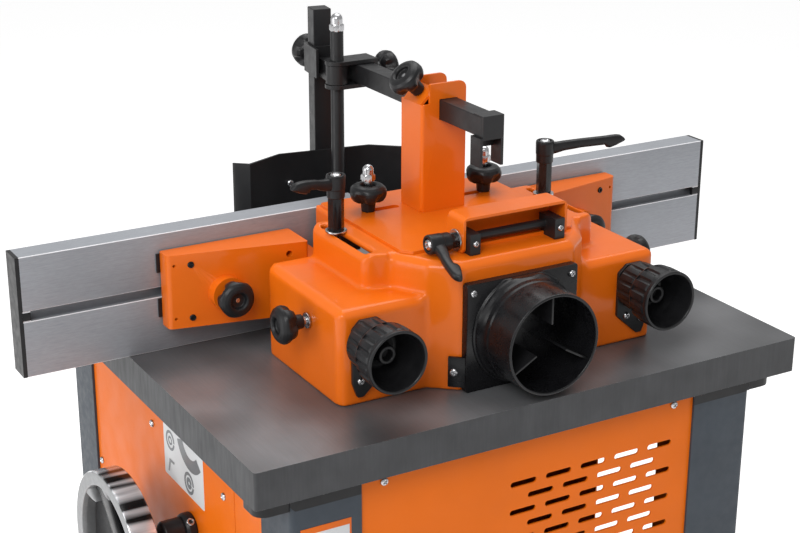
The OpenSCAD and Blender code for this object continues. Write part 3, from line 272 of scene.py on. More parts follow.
FINISH = {
    "orange_paint": paint("orange_enamel", ORANGE),
    "slate_paint": powder("slate_powder_coat", (0.04, 0.051, 0.065)),
    "ground_iron": ground_plate("ground_iron"),
    "cast_iron": casting("raw_cast_iron", (0.16, 0.165, 0.17)),
    "motor_grey": paint("motor_paint", (0.09, 0.105, 0.125), peel=0.1, coat=0.1, roughness=0.45),
    "bright_steel": metal("bright_steel", (0.6, 0.6, 0.61), 0.24, streak=(1, 1, 12)),
    "polished_rim": chrome("chrome_with_painted_reflections"),
    "fence_aluminium": brushed_plate("brushed_aluminium"),
    "black_plastic": plastic("black_plastic", BLACK, 0.36),
    "black_steel": powder("black_powder_coat", (0.012, 0.012, 0.013), grain=0.02, roughness=0.38),
    "belt_rubber": plastic("belt_rubber", (0.02, 0.02, 0.02), 0.75, grain=0.1),
    "start_green": plastic("green_plastic", (0.02, 0.25, 0.06), 0.25, grain=0.005),
    "stop_red": plastic("red_plastic", (0.5, 0.015, 0.01), 0.25, grain=0.005),
}
ZINC_PLATE = metal("zinc_plate", ZINC, 0.22, size=1.5, depth=0.01)
RIM_SIDE = milled_side("milled_iron_side")
# Light-grey paint on rounded edges of the table and fences: a painted highlight for the light that the
# edges catch.
EDGE_HIGHLIGHT = paint("painted_edge_highlight", (0.8, 0.8, 0.82), peel=0.01, roughness=0.3, mottle=0.1)
PANEL_PAINT = paint("orange_panel_enamel", (0.82, 0.16, 0.004), roughness=0.45, coat=0.05)
GLOSS_BLACK = plastic("glossy_black_plastic", (0.007, 0.007, 0.008), 0.2, grain=0.006)
PORT_BLACK = plastic("port_black_plastic", (0.007, 0.007, 0.008), 0.27, grain=0.012)
WHEEL_GREY = metal("satin_wheel_face", (0.36, 0.365, 0.37), 0.5, size=3, depth=0.03)
WHEEL_DARK = powder("dark_wheel_recess", (0.012, 0.012, 0.013), roughness=0.35)
PLATE_WHITE = paint("white_foil", (0.68, 0.69, 0.7), peel=0.01, coat=0.2, mottle=0.02)
PLATE_GREY = paint("grey_print", (0.16, 0.17, 0.18), peel=0.01, coat=0.2, mottle=0.02)


# Drawing in millimetres


def eased(points, radius, steps=4, closed=False):
    """The polyline with its corners rounded; a point may carry its own radius."""
    out = []
    count = len(points)
    for i, point in enumerate(points):
        own = point[2] if len(point) > 2 else radius
        here = Vector(point[:2])
        if own <= 0 or (not closed and i in (0, count - 1)):
            out.append(tuple(here))
            continue
        a = Vector(points[i - 1][:2]) - here
        b = Vector(points[(i + 1) % count][:2]) - here
        half = a.angle(b) / 2
        if half > math.radians(88):
            out.append(tuple(here))
            continue
        reach = min(own / math.tan(half), a.length * 0.48, b.length * 0.48)
        start, end = a.normalized() * reach, b.normalized() * reach
        for k in range(steps + 1):
            t = k / steps
            bent = here + start * (1 - t) ** 2 + end * t**2
            out.append(tuple(bent))
    return out


def turned(profile, segments=48, form=None, closed=False):
    """A body of revolution on +Z. The profile is (radius, height) from axis to axis, or
    a closed ring; form(angle, radius, height) may bend a point of it."""
    bm = bmesh.new()
    rings = []
    for r, z in profile:
        angles = [0] if r < 1e-6 else [2 * math.pi * i / segments for i in range(segments)]
        ring = []
        for a in angles:
            radius, height = form(a, r, z) if form and r > 1e-6 else (r, z)
            ring.append(bm.verts.new((radius * math.cos(a), radius * math.sin(a), height)))
        rings.append(ring)
    pairs = list(zip(rings, rings[1:])) + ([(rings[-1], rings[0])] if closed else [])
    for low, high in pairs:
        for i in range(segments):
            j = (i + 1) % segments
            corners = [low[i % len(low)], low[j % len(low)], high[j % len(high)], high[i % len(high)]]
            corners = list(dict.fromkeys(corners))  # a point on the axis comes only once
            if len(corners) > 2:
                bm.faces.new(corners)
    return bm


def slab(outline, z0, z1, edge=0.5):
    """A plate with that outline between two heights, its rims rounded by edge."""
    bm = bmesh.new()
    low = [bm.verts.new((x, y, z0)) for x, y in outline]
    high = [bm.verts.new((x, y, z1)) for x, y in outline]
    bottom, top = bm.faces.new(low[::-1]), bm.faces.new(high)
    for i in range(len(outline)):
        j = (i + 1) % len(outline)
        bm.faces.new((low[i], low[j], high[j], high[i]))
    if edge > 0:
        rims = list(bottom.edges) + list(top.edges)
        bmesh.ops.bevel(bm, geom=rims, offset=edge, segments=2, profile=0.5, affect="EDGES")
    return bm


def block(low, high, edge=0.6):
    """A box between two corners with rounded edges."""
    bm = bmesh.new()
    bmesh.ops.create_cube(bm, size=1)
    low, high = Vector(low), Vector(high)
    for v in bm.verts:
        v.co = Vector((low + high) / 2) + Vector([c * s for c, s in zip(v.co, high - low)])
    bmesh.ops.bevel(bm, geom=bm.edges[:], offset=edge, segments=2, profile=0.5, affect="EDGES")
    return bm


def lofted(sections, points=20, power=3.2):
    """A solid along +X through (x, bottom, top, half width) sections of rounded squares."""
    bm = bmesh.new()
    rings = []
    for x, bottom, top, half in sections:
        ring = []
        for i in range(points):
            a = 2 * math.pi * i / points
            c, s = math.cos(a), math.sin(a)
            y = half * math.copysign(abs(c) ** (2 / power), c)
            z = (top - bottom) / 2 * math.copysign(abs(s) ** (2 / power), s)
            ring.append(bm.verts.new((x, y, (top + bottom) / 2 + z)))
        rings.append(ring)
    for low, high in zip(rings, rings[1:]):
        for i in range(points):
            j = (i + 1) % points
            bm.faces.new((low[i], low[j], high[j], high[i]))
    bm.faces.new(rings[0][::-1])
    bm.faces.new(rings[-1])
    return bm


def moved(bm, matrix):
    bm.transform(matrix)
    return bm


def joined(*parts):
    """One mesh from several."""
    whole = bmesh.new()
    for part in parts:
        mesh = bpy.data.meshes.new("part")
        part.to_mesh(mesh)
        part.free()
        whole.from_mesh(mesh)
        bpy.data.meshes.remove(mesh)
    return whole


def at(origin, axis=(0, 0, 1), along=None):
    """The place whose +Z is axis and whose +X is along."""
    z = Vector(axis).normalized()
    if along is None:
        along = (1, 0, 0) if abs(z.x) < 0.9 else (0, 0, 1)
    x = Vector(along)
    x = (x - z * x.dot(z)).normalized()
    y = z.cross(x)
    return Matrix.Translation(origin) @ Matrix((x, y, z)).transposed().to_4x4()


def at_joint(name, along=None):
    """The place of a joint, with +Z along its axis."""
    joint = JOINTS[name]
    return at([c / MM for c in joint["pos_m"]], joint["axis"], along)


def piece(name, bm, body, slot, materials, place=None, stands_for=(), crease=32):
    """Finishes bm as an object in metres that rides on body."""
    if place is not None:
        bm.transform(place)
    bm.transform(Matrix.Scale(MM, 4))
    bmesh.ops.recalc_face_normals(bm, faces=bm.faces[:])
    mesh = bpy.data.meshes.new(name)
    bm.to_mesh(mesh)
    bm.free()
    mesh.shade_smooth()
    mesh.set_sharp_from_angle(angle=math.radians(crease))
    obj = bpy.data.objects.new(name, mesh)
    bpy.context.scene.collection.objects.link(obj)
    for material in materials if isinstance(materials, (list, tuple)) else [materials]:
        mesh.materials.append(material)
    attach(obj, body)
    if stands_for:
        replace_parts(obj, *stands_for)
    return obj


def smooth(x):
    """0 below 0, 1 above 1, eased between."""
    x = min(1.0, max(0.0, x))
    return x * x * (3 - 2 * x)


# Copies of CAD nodes with rounded edges


def island_boxes(bm):
    """The lowest and highest corners of each separate solid of a mesh, taken in the order of
    the mesh's faces so that each run gives the same list."""
    seen = set()
    found = []
    for first in bm.faces:
        if first in seen:
            continue
        seen.add(first)
        stack = [first]
        corners = []
        while stack:
            face = stack.pop()
            corners += [v.co for v in face.verts]
            for edge in face.edges:
                for other in edge.link_faces:
                    if other not in seen:
                        seen.add(other)
                        stack.append(other)
        low = Vector([min(c[i] for c in corners) for i in range(3)])
        high = Vector([max(c[i] for c in corners) for i in range(3)])
        found.append((low, high))
    return found


def node_mesh(node):
    """A clean copy of a CAD node's mesh in millimetres."""
    bm = bmesh.new()
    bm.from_mesh(NODES[node].data)
    bm.transform(Matrix.Scale(1 / MM, 4))
    bmesh.ops.remove_doubles(bm, verts=bm.verts[:], dist=0.002)
    return bm


def dressed(node, width=0.5, materials=None, tint=None, bends=(), edge_material=-1, segments=2,
            cuts=()):
    """A copy of the node with its edges rounded, which stands for it. cuts are planes (point,
    normal) that part its faces; tint(centre) picks a face's material index; bends are (test of
    an edge's ends, radius, material index or None) for larger roundings."""
    bm = node_mesh(node)
    limit = math.radians(0.6)
    bmesh.ops.dissolve_limit(bm, angle_limit=limit, verts=bm.verts[:], edges=bm.edges[:])
    for point, normal in cuts:
        parts = bm.verts[:] + bm.edges[:] + bm.faces[:]
        bmesh.ops.bisect_plane(bm, geom=parts, plane_co=point, plane_no=normal)
    if tint:
        for face in bm.faces:
            face.material_index = tint(face.calc_center_median())
    for test, radius, index in bends:
        edges = [
            e for e in bm.edges
            if e.is_manifold and e.calc_face_angle(0) > 0.5 and test(e.verts[0].co, e.verts[1].co)
        ]
        steps = 5 if radius > 1 else 2
        rounded = bmesh.ops.bevel(
            bm, geom=edges, offset=radius, segments=steps, profile=0.5, affect="EDGES"
        )
        for face in rounded["faces"] if index is not None else ():
            face.material_index = index
    body = NODES[node]["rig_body"]
    materials = materials or [FINISH[SLOT[node]]]
    obj = piece(f"{node}_dressed", bm, body, SLOT[node], materials, stands_for=[node])
    rounding = obj.modifiers.new("rounded_edges", "BEVEL")
    rounding.width = width * MM
    rounding.segments = segments
    rounding.limit_method = "ANGLE"
    rounding.angle_limit = math.radians(38)
    rounding.use_clamp_overlap = True
    rounding.harden_normals = True
    rounding.material = edge_material
    return obj


def upright(a, b):
    """True for an edge along Z."""
    return abs(a.x - b.x) < 0.1 and abs(a.y - b.y) < 0.1


def cast_hood():
    """The hood as a soft-edged casting: remeshed, then smoothed so that every edge and every
    inner corner gets its fillet."""
    bm = node_mesh("hood")
    finish = [FINISH["orange_paint"]]
    obj = piece("hood_casting", bm, "machine_frame", SLOT["hood"], finish, stands_for=["hood"])
    remesh = obj.modifiers.new("voxels", "REMESH")
    remesh.mode = "VOXEL"
    remesh.voxel_size = 1.7 * MM
    remesh.use_smooth_shade = True
    soften = obj.modifiers.new("fillets", "SMOOTH")
    soften.factor = 0.5
    soften.iterations = 12
    depsgraph = bpy.context.evaluated_depsgraph_get()
    mesh = bpy.data.meshes.new_from_object(obj.evaluated_get(depsgraph))
    mesh.name = "hood_casting"
    obj.modifiers.clear()
    obj.data = mesh
    mesh.shade_smooth()


# Small parts


def hexagonal(across):
    """A form that turns round sections into hexagons of that width across flats."""

    def form(a, r, z):
        turn = math.radians(60)
        flat = across / 2 / math.cos((a + turn / 2) % turn - turn / 2)
        return min(r, flat), z

    return form


def cap_nut(across, hex_h, dome_r, dome_h):
    """Hexagon nut with a dome, standing on z 0."""
    corner = across / 2 / math.cos(math.radians(30))
    profile = [(0, 0), (across / 2, 0), (corner, 0.8), (corner, hex_h - 1.2),
               (across / 2 - 0.3, hex_h), (0, hex_h)]
    nut = turned(profile, 72, hexagonal(across))
    arc = [(dome_r * math.cos(t), hex_h + (dome_h - dome_r) + dome_r * math.sin(t))
           for t in [math.pi / 2 * k / 8 for k in range(9)]]
    dome = turned([(0, hex_h - 0.5), (dome_r, hex_h - 0.5), *arc[:-1], (0, hex_h + dome_h)], 36)
    return joined(nut, dome)


def crossed_head(d, h):
    """Pan head with a cross recess, standing on z 0."""

    def recess(a, r, z):
        if z < h * 0.5 or r > d * 0.3:
            return r, z
        arm = min(abs(r * math.cos(a)), abs(r * math.sin(a)))
        in_arm = smooth((d * 0.075 - arm) / (d * 0.03))
        in_reach = smooth((d * 0.3 - r) / (d * 0.06))
        return r, z - h * 0.5 * in_arm * in_reach

    rim = [(0, 0), (d / 2, 0), (d / 2, h * 0.35), (d * 0.47, h * 0.62), (d * 0.4, h * 0.84),
           (d * 0.32, h * 0.95)]
    inside = [(d * 0.3, h * 0.97), (d * 0.24, h), (d * 0.18, h), (d * 0.12, h), (d * 0.07, h),
              (0, h * 0.5)]
    return turned(rim + inside, 32, recess)


def socket_head(d, h, key):
    """Cap screw with a hexagon socket, standing on z 0."""

    def form(a, r, z):
        return hexagonal(key)(a, r, z) if r <= key * 0.6 else (r, z)

    corner = key * 0.58
    profile = [(0, 0), (d / 2, 0), (d / 2, h - 0.5), (d / 2 - 0.5, h), (corner + 0.4, h),
               (corner, h - 0.2), (corner, h * 0.45), (0, h * 0.4)]
    return turned(profile, 36, form)


STAR_HEIGHT = 18.0


def star_knob(neck, stub=0.0):
    """Lobed knob: five scoops open towards its foot; its black part starts at z stub."""
    lobes, depth, core = 5, 4.2, 7.6
    base = neck + 13.6

    def scooped(a, r, z):
        if r < core + 0.1:
            return r, z
        turn = math.degrees(a) % (360 / lobes)
        off = min(turn, 360 / lobes - turn)
        side = smooth((25 - off) / 17)
        rise = smooth((base - z) / 9)
        return max(core, r - depth * side * rise), z

    top = neck + STAR_HEIGHT
    outer = [(0, stub), (6.4, stub), (6.8, stub + 0.6), (7.4, neck - 1), (8.6, neck - 0.2),
             (12.4, neck + 0.3), (15.6, neck + 2.2), (17.6, neck + 5.2), (18.5, neck + 8.6),
             (18.3, neck + 11.6), (17.0, neck + 14.4), (14.8, neck + 16.5), (12.0, neck + 17.7),
             (9.6, top)]
    middle = [(8.5, top - 0.5), (7.6, top - 2), (7.4, top - 4.5), (0, top - 4.6)]
    return turned(eased(outer + middle, 1.2, 3), 80, scooped)


def knob_pieces(node, joint, neck, stub=0.0, cap=False):
    """A star knob at its joint, with its bright stud and, on request, a cap nut on top."""
    body = NODES[node]["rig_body"]
    place = at_joint(joint)
    piece(f"{node}_grip", star_knob(neck, stub), body, SLOT[node], FINISH["black_plastic"], place, [node])
    bright = turned([(0, -5), (4, -5), (4, stub + 0.2), (0, stub + 0.2)], 24)
    if stub > 3:
        ring = eased([(4, 0.4), (7.6, 0.4), (7.6, 2.2), (4, 2.2)], 0.4, 2, closed=True)
        bright = joined(bright, turned(ring, 32, closed=True))
    top = neck + STAR_HEIGHT
    if cap:
        thread = turned([(0, top - 5), (4, top - 5), (4, top + 4), (0, top + 4)], 24)
        nut = moved(cap_nut(12.4, 6.8, 5.4, 9.6), Matrix.Translation((0, 0, top + 3.6)))
        bright = joined(bright, thread, nut)
    elif stub <= 3:
        bright = joined(bright, turned([(0, top - 6), (2.2, top - 6), (2.2, top - 4.2), (0, top - 4)], 24))
    piece(f"{node}_stud", bright, body, "bright_steel", ZINC_PLATE, place)


def clamp_lever(node, place, post, arm, foot):
    """Clamp lever on +Z with its arm along +X: washer, hexagon post, stepped hub, bent arm
    and a screw in the hub's top."""
    body = NODES[node]["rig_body"]
    top = post + 23
    hub = [(0, post), (8.2, post), (8.7, post + 0.8), (8.8, post + 8), (9.2, post + 9.2),
           (9.4, top - 2.5), (9, top - 0.6), (8, top), (6.6, top - 0.2), (6.2, top - 2.4),
           (0, top - 2.6)]
    low, high = post + 8, post + 20.5
    sections = [
        (2, low + 0.6, high + 0.6, 4.6), (9, low + 0.4, high, 4.6), (13, low + 1.2, high - 0.2, 4.2),
        (20, low + 3.0, high + 0.6, 3.9), (arm * 0.45, low + 5.2, high + 1.8, 3.8),
        (arm - 21.5, low + 6.6, high + 3, 3.9), (arm - 19.5, low + 3.8, high + 3.2, 3.9),
        (arm - 16, low + 3.2, high + 3.6, 3.9), (arm - 9, low + 5.6, high + 3.9, 3.9),
        (arm - 5, low + 7.6, high + 3.2, 3.7), (arm - 1.5, low + 9.2, high + 0.8, 3.0),
        (arm, low + 10.2, high - 1, 1.8),
    ]
    flats = 13.5
    shank = [(0, 1.6), (flats / 2, 1.6), (7.8, 2.4), (7.8, post + 1), (0, post + 1)]
    black = joined(turned(eased(hub, 0.8, 3), 48), lofted(sections))
    piece(f"{node}_handle", black, body, SLOT[node], FINISH["black_plastic"], place, [node])
    piece(f"{node}_post", turned(shank, 72, hexagonal(flats)), body, SLOT[node], GLOSS_BLACK, place)
    ring = eased([(4, 0), (10.5, 0), (10.5, 1.8), (4, 1.8)], 0.4, 2, closed=True)
    stud = turned([(0, -foot), (4, -foot), (4, 1), (0, 1)], 24)
    screw = moved(crossed_head(11, 3.4), Matrix.Translation((0, 0, top - 2.8)))
    bright = joined(turned(ring, 40, closed=True), stud, screw)
    piece(f"{node}_hardware", bright, body, "bright_steel", ZINC_PLATE, place)


def lock_handle():
    """Round handle with a collar at the wall, a screw in the collar and an arm that hangs down."""
    place = at_joint("lock_turn", (0, 0, -1))
    collar = turned(eased([(0, 0), (16.2, 0), (17, 1.6), (17, 8), (15.4, 11.8), (0, 12)], 2.2, 4), 64)
    grip = turned(eased([(0, 11), (14, 11), (14, 32), (11.5, 34), (0, 34)], 2.5, 4), 64)
    arm = lofted([(6, 16.2, 26.8, 6.2), (20, 16.2, 26.8, 5.6), (44, 16.6, 26.4, 5.4),
                  (54, 16.2, 26.8, 6), (60, 16.6, 26.4, 5.6), (63, 18, 25, 4), (64, 19.6, 23.4, 2)])
    lock = ("lock", SLOT["lock_lever"])
    piece("lock_grip", joined(collar, grip), *lock, FINISH["black_plastic"], place, ["lock_lever"])
    piece("lock_arm", arm, *lock, FINISH["black_plastic"], place)
    out = Vector((-0.77, 0.64, 0))
    screw = moved(socket_head(8, 3, 4), at(out * 15.2 + Vector((0, 0, 6)), out))
    stud = turned([(0, -12), (4, -12), (4, 1), (0, 1)], 24)
    piece("lock_screw", joined(screw, stud), "lock", "bright_steel", ZINC_PLATE, place)


CUP_X, CUP_HEIGHT = 150, 61.5
BRACKET_THICK, CUP_GAP = 3.7, 0.3


def cup_knob(side):
    """Micro-adjust knob: ribbed stepped cup with a hub inside, on its bright screw."""
    node = f"{side}_cup_knob"
    body = NODES[node]["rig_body"]
    pads = 16

    def ribbed(a, r, z):
        phase = abs((a * pads / (2 * math.pi)) % 1 - 0.5) * 2
        pad = smooth((0.74 - phase) / 0.16)
        if r > 23 and 3 < z < 22:
            return r - 1.8 * (1 - pad), z
        if r > 28.4 and 29 < z < 48.5:
            return r - 1.5 * (1 - pad), z
        return r, z

    outer = [(0, 0), (21.4, 0), (22.8, 0.6), (23.8, 2.2), (24.2, 9), (24.6, 20.5), (23.8, 22.2),
             (23.8, 23.6), (26.4, 25), (28, 26.6), (29.2, 29), (29.9, 36), (29.9, 47.5), (28.9, 49.4),
             (29, 50.6), (29.9, 51.6), (29.9, 53.8), (29.2, 55), (27.6, 55), (26.9, 54.2)]
    inner = [(26.5, 52), (26, 40), (24.6, 30), (21.4, 21), (19.6, 15.5), (17.5, 14), (13, 14),
             (10.4, 15), (9.2, 17), (9, 33), (8.2, 34.8), (6, 35), (5.2, 34), (5, 26), (0, 26)]
    foot = (SIDES[side] * CUP_X, CHEEK_FACE - BRACKET_THICK - CUP_GAP, TABLE + CUP_HEIGHT)
    place = at(foot, (0, -1, 0), (1, 0, 0))
    cup = turned(eased(outer + inner, 0.7, 2), pads * 12, ribbed)
    piece(f"{side}_adjuster_cup", cup, body, SLOT[node], FINISH["black_plastic"], place, [node])
    screw = turned([(0, -196), (5, -196), (6, -195), (6, 0.5), (0, 0.5)], 32)
    piece(f"{side}_adjuster_screw", screw, body, "bright_steel", FINISH["bright_steel"], place)


def dust_port():
    """Flange with a belled root, thin tube, fins, and a tab on the hood's slanted face."""
    half_w, top, bottom, thick = 61, 107 - PORT_AXIS, 0.5 - PORT_AXIS, 8
    mouth, outside, bore = 61, 49, 46
    corners = [(-half_w, bottom), (half_w, bottom), (half_w, top), (-half_w, top)]
    flange = eased(corners, 2.2, closed=True)
    plate = slab(flange, 0, thick, 0.9)

    def clipped(a, r, z):
        return (min(r, (top - 0.3) / max(math.sin(a), 0.05)) if r > top - 0.3 else r), z

    root = [(55.5, thick - 0.2), (55.2, thick + 1.6), (53.6, thick + 2.8), (53, thick + 5),
            (51.2, thick + 8), (50.1, thick + 11), (49.9, thick + 16), (49.1, thick + 18)]
    lip = [(outside, mouth - 1), (48.4, mouth), (46.6, mouth), (bore, mouth - 1), (bore, 1), (52, 1)]
    tube = turned(eased(root + lip, 1.6, 3, closed=True), 96, clipped, closed=True)
    fins = []
    for k in range(3):
        fin = block((18.5, -1, thick + 14), (46.6, 1, mouth - 5), 0.35)
        fins.append(moved(fin, Matrix.Rotation(math.radians(90 + 120 * k), 4, "Z")))
    tab = block((-5, 0.1, 5), (11.5, 4, 35), 0.8)
    place = at((0, NOSE_FACE, TABLE + PORT_AXIS), (0, -1, 0), (1, 0, 0))
    args = ("machine_frame", SLOT["dust_port"])
    piece("port_flange", plate, *args, PORT_BLACK, place, ["dust_port"])
    piece("port_tab", tab, *args, PORT_BLACK, at(NOSE_CORNER, (0, 0, 1), NOSE_ALONG))
    piece("port_tube", tube, *args, PORT_BLACK, place)
    piece("port_fins", joined(*fins), *args, FINISH["black_plastic"], place)


FIRST_SPOKE = 27
PRONG_TURN = 20


def handwheel():
    """Chromed rim with a flat satin front ring, a dark dish, three black spokes that satin
    prongs join to the ring, and a hub."""
    body = NODES["handwheel"]["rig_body"]
    rim = [(82, 3), (86, 0.8), (93.4, 0.3), (95, 1.8), (95, 26.8), (94.2, 27.6), (88, 27), (84, 12)]
    front = [(94.3, 26.9), (93.7, 28), (82, 28), (80.2, 27), (79.6, 22), (79.6, 12), (84, 12), (90, 22)]
    dish = [(22, 1), (22, 8), (50, 9), (78, 12.5), (81, 12), (81, 4), (50, 2)]
    spoke = [(21, 4, 15, 12), (32, 5, 16, 11), (50, 6, 17.5, 12), (68, 8, 19, 15), (80, 9, 20.5, 19)]
    prong = [(66, 12, 21, 0.8), (70, 11, 23.5, 2.6), (76, 10, 25.5, 5), (82, 10, 27, 9)]
    hub = [(10.05, -14), (20, -14), (22, 0), (24.4, 6), (24.4, 12), (22, 16), (10.05, 16)]
    place = at_joint("handwheel_turn", (0, 0, 1)) @ Matrix.Rotation(math.pi, 4, "X")
    ring = lambda points, radius: turned(eased(points, radius, 3, closed=True), 120, closed=True)
    turn = lambda degrees: Matrix.Rotation(math.radians(degrees), 4, "Z")
    spokes, prongs = [], []
    for k in range(3):
        middle = FIRST_SPOKE + 120 * k
        spokes.append(moved(lofted(spoke, 20, 5), turn(middle)))
        prongs += [moved(lofted(prong, 16, 4), turn(middle + side * PRONG_TURN)) for side in (-1, 1)]
    slot = SLOT["handwheel"]
    piece("handwheel_rim", ring(rim, 0.8), body, slot, FINISH["polished_rim"], place, ["handwheel"])
    piece("handwheel_front", joined(ring(front, 0.8), *prongs), body, slot, WHEEL_GREY, place)
    piece("handwheel_dish", ring(dish, 0.6), body, slot, WHEEL_DARK, place)
    piece("handwheel_spokes", joined(*spokes), body, slot, GLOSS_BLACK, place)
    piece("handwheel_hub", ring(hub, 1.5), body, slot, FINISH["black_plastic"], place)


def crank():
    """Turned crank knob on its pin."""
    place = at_joint("crank_spin") @ Matrix.Rotation(math.pi, 4, "X")
    profile = [(0, 18), (8, 18), (9, 20), (11.8, 32), (12.6, 48), (12, 62), (9, 70.5), (4, 72), (0, 72)]
    grip = turned(eased(profile, 3, 3), 48)
    piece("crank_grip", grip, "crank", SLOT["crank_knob"], GLOSS_BLACK, place, ["crank_knob"])
    pin = turned([(0, 8), (5, 8), (5, 19), (0, 19)], 32)
    piece("crank_pin", pin, "crank", "bright_steel", FINISH["bright_steel"], place)


def screws():
    """A cross-recessed pan head for each screw of the CAD node, facing away from the machine."""
    heads = []
    bm = node_mesh("screws")
    for low, high in island_boxes(bm):
        size = high - low
        axis = min(range(3), key=lambda i: size[i])
        centre = (low + high) / 2
        height = size[axis]
        outward = Vector([0, 0, 0])
        outward[axis] = math.copysign(1, centre[axis])
        if height > max(size) / 2:  # the slanted one, whose box is nearly a cube
            outward, height = NOSE_NORMAL, SCREW_HEIGHT
        foot = centre - outward * height / 2
        heads.append(moved(crossed_head(max(size), height), at(foot, outward, (0.8, 0.5, 0.6))))
    bm.free()
    slot = SLOT["screws"]
    piece("screw_heads", joined(*heads), "machine_frame", slot, ZINC_PLATE, stands_for=["screws"])


# The assembly


def rubber_material(centre):
    """Black for the posts' rubber pads and side lugs, paint elsewhere."""
    return 1 if centre.z > PAD_BOTTOM or abs(centre.x) > POST_X + 0.2 else 0


def near_corner(a, b, x, y):
    """True for an upright edge at one of the four corners (x, y)."""
    return upright(a, b) and abs(abs(a.x) - x) < 0.6 and abs(abs(a.y) - y) < 0.6


def cabinet():
    """The posts' corners are rounded only below the lugs, which reach over them."""
    outer = lambda a, b: near_corner(a, b, POST_X, POST_Y)
    below = lambda a, b: outer(a, b) and max(a.z, b.z) < LUG_BOTTOM + 0.05
    post = [FINISH["slate_paint"], FINISH["black_plastic"]]
    lug_cut = [((0, 0, LUG_BOTTOM), (0, 0, 1))]
    dressed("corner_posts", 0.5, post, rubber_material, [(below, 5, None)], cuts=lug_cut)
    dressed("base_frame", 0.8, bends=[(outer, 6, None)])
    for node in ("vent_panel", "front_panel", "left_panels", "right_panel"):
        dressed(node, 0.5, [PANEL_PAINT])
    screws()
    dressed("switch_box", 2.0)
    label_plates()


def arc_band(centre, inner, outer, start, end, steps=14):
    """Outline of a part of a ring between two angles in degrees."""
    angles = [math.radians(start + (end - start) * k / steps) for k in range(steps + 1)]
    edge = lambda r, turns: [(centre[0] + r * math.cos(t), centre[1] + r * math.sin(t)) for t in turns]
    return edge(outer, angles) + edge(inner, angles[::-1])


def label_plates():
    """A white plate with generic grey shapes on the left door, and a bare one with an orange
    border on the post."""
    frame_body, door_x = "machine_frame", -256
    place = at((door_x, 0, TABLE), (-1, 0, 0), (0, -1, 0))
    outline = eased([(-16, -149.5), (84, -149.5), (84, -84), (-16, -84)], 2, closed=True)
    piece("door_plate", slab(outline, 0, 0.35, 0.1), frame_body, "orange_paint", PLATE_WHITE, place)
    left_ring, right_ring = (1.4, -107), (47.2, -135)
    rings = [(left_ring, 8, 11), (left_ring, 2.6, 5), (right_ring, 8.6, 12), (right_ring, 1.8, 6.4)]
    outlines = [arc_band(*ring, 0, 350, 30) for ring in rings]
    outlines.append(arc_band((53, -86), 20, 34, 198, 318))
    outlines.append([(-7, -144), (-2.5, -128.5), (10.5, -128.5), (9, -131.5), (0.5, -131.5), (-4, -144)])
    shapes = [slab(points, 0.3, 0.5, 0) for points in outlines]
    piece("door_plate_shapes", joined(*shapes), frame_body, "slate_paint", PLATE_GREY, place)
    low, high = (-249.5, -282.9, TABLE - 150), (-199, -282.4, TABLE - 76)
    piece("post_plate_border", block(low, high, 0.1), frame_body, "orange_paint", FINISH["orange_paint"])
    low, high = (-247.5, -283.1, TABLE - 148), (-201, -282.6, TABLE - 82)
    piece("post_plate", block(low, high, 0.1), frame_body, "orange_paint", PLATE_WHITE)


def table():
    """Ground on top, milled at the sides, with a painted highlight along the edges: a light-grey line on
    the rounded edges.
    """
    corner = lambda a, b: near_corner(a, b, TABLE_HALF, TABLE_HALF)
    iron = [FINISH["ground_iron"], RIM_SIDE, EDGE_HIGHLIGHT]
    top = dressed("table", 1.5, iron, bends=[(corner, 3, None)], edge_material=2)
    for face in top.data.polygons:
        face.material_index = 0 if face.normal.z > 0.9 and face.center.z > (TABLE - 1) * MM else 1


# Planes of the fences: the end caps and slot plugs begin at these X, the wedge's back and
# the cut just behind it, the T-nut and the plate's front edge lie at these Y
CAP_X, PLUG_X = 401.5, 393.9
HOLDER_BACK, SPACER_Y, NUT_Y, PLATE_FRONT = -18.5, -18.45, -11.8, -16


def fence_material(centre):
    """Black for the end caps and the plugs of the T-slot, bare metal elsewhere."""
    plug = abs(centre.x) > PLUG_X and centre.y < -11 and 56.4 < centre.z - TABLE < 66.3
    return 1 if plug or abs(centre.x) > CAP_X else 0


def holder_material(centre):
    """Paint for the wedge and its bar, black for the spacers, steel for the T-nut."""
    return 2 if centre.y > NUT_Y else (1 if centre.y > SPACER_Y - 0.1 else 0)


def fence_edge(a, b):
    """True for the front plate's edges along X, between the end caps."""
    along = abs(a.y - b.y) < 0.1 and abs(a.z - b.z) < 0.1
    return along and a.y < PLATE_FRONT and max(abs(a.x), abs(b.x)) < CAP_X + 0.1


def fences():
    bolt_x, inner_x, thin, thick, length = 242, 127, 18, 45, 138
    slope = math.atan((thick - thin) / length)
    face_y = HOLDER_BACK - thick + (thick - thin) * (bolt_x - inner_x) / length
    holder = [FINISH["orange_paint"], FINISH["black_plastic"], FINISH["bright_steel"]]
    for side, s in SIDES.items():
        # Index 2 paints the rounded front edges light grey, a painted highlight.
        fence = [FINISH["fence_aluminium"], FINISH["black_plastic"], EDGE_HIGHLIGHT]
        cap_cut = [((s * CAP_X, 0, 0), (1, 0, 0))]
        dressed(f"{side}_fence", 0.4, fence, fence_material, [(fence_edge, 0.7, 2)], cuts=cap_cut)
        spacer_cut = [((0, SPACER_Y, 0), (0, 1, 0))]
        dressed(f"{side}_holder", 1.6, holder, holder_material, segments=3, cuts=spacer_cut)
        bolts = []
        for z in (38.5, 93):
            head = moved(socket_head(6.2, 4, 3.2), Matrix.Translation((0, 0, -2.6)))
            out = (s * math.sin(slope), -math.cos(slope), 0)
            bolts.append(moved(head, at((s * bolt_x, face_y, TABLE + z), out)))
        piece(f"{side}_holder_bolts", joined(*bolts), f"{side}_carrier", "black_plastic", GLOSS_BLACK)
        knob_pieces(f"{side}_fence_knob", f"{side}_plate_knob_turn", 4)


def cover_edge(a, b):
    """True for the bar cover's upper edges along Y at its two ends."""
    crosswise = min(a.z, b.z) > TABLE + 160.4 and abs(a.x - b.x) < 0.1
    return crosswise and (a.x < -48.6 or a.x > 66.9)


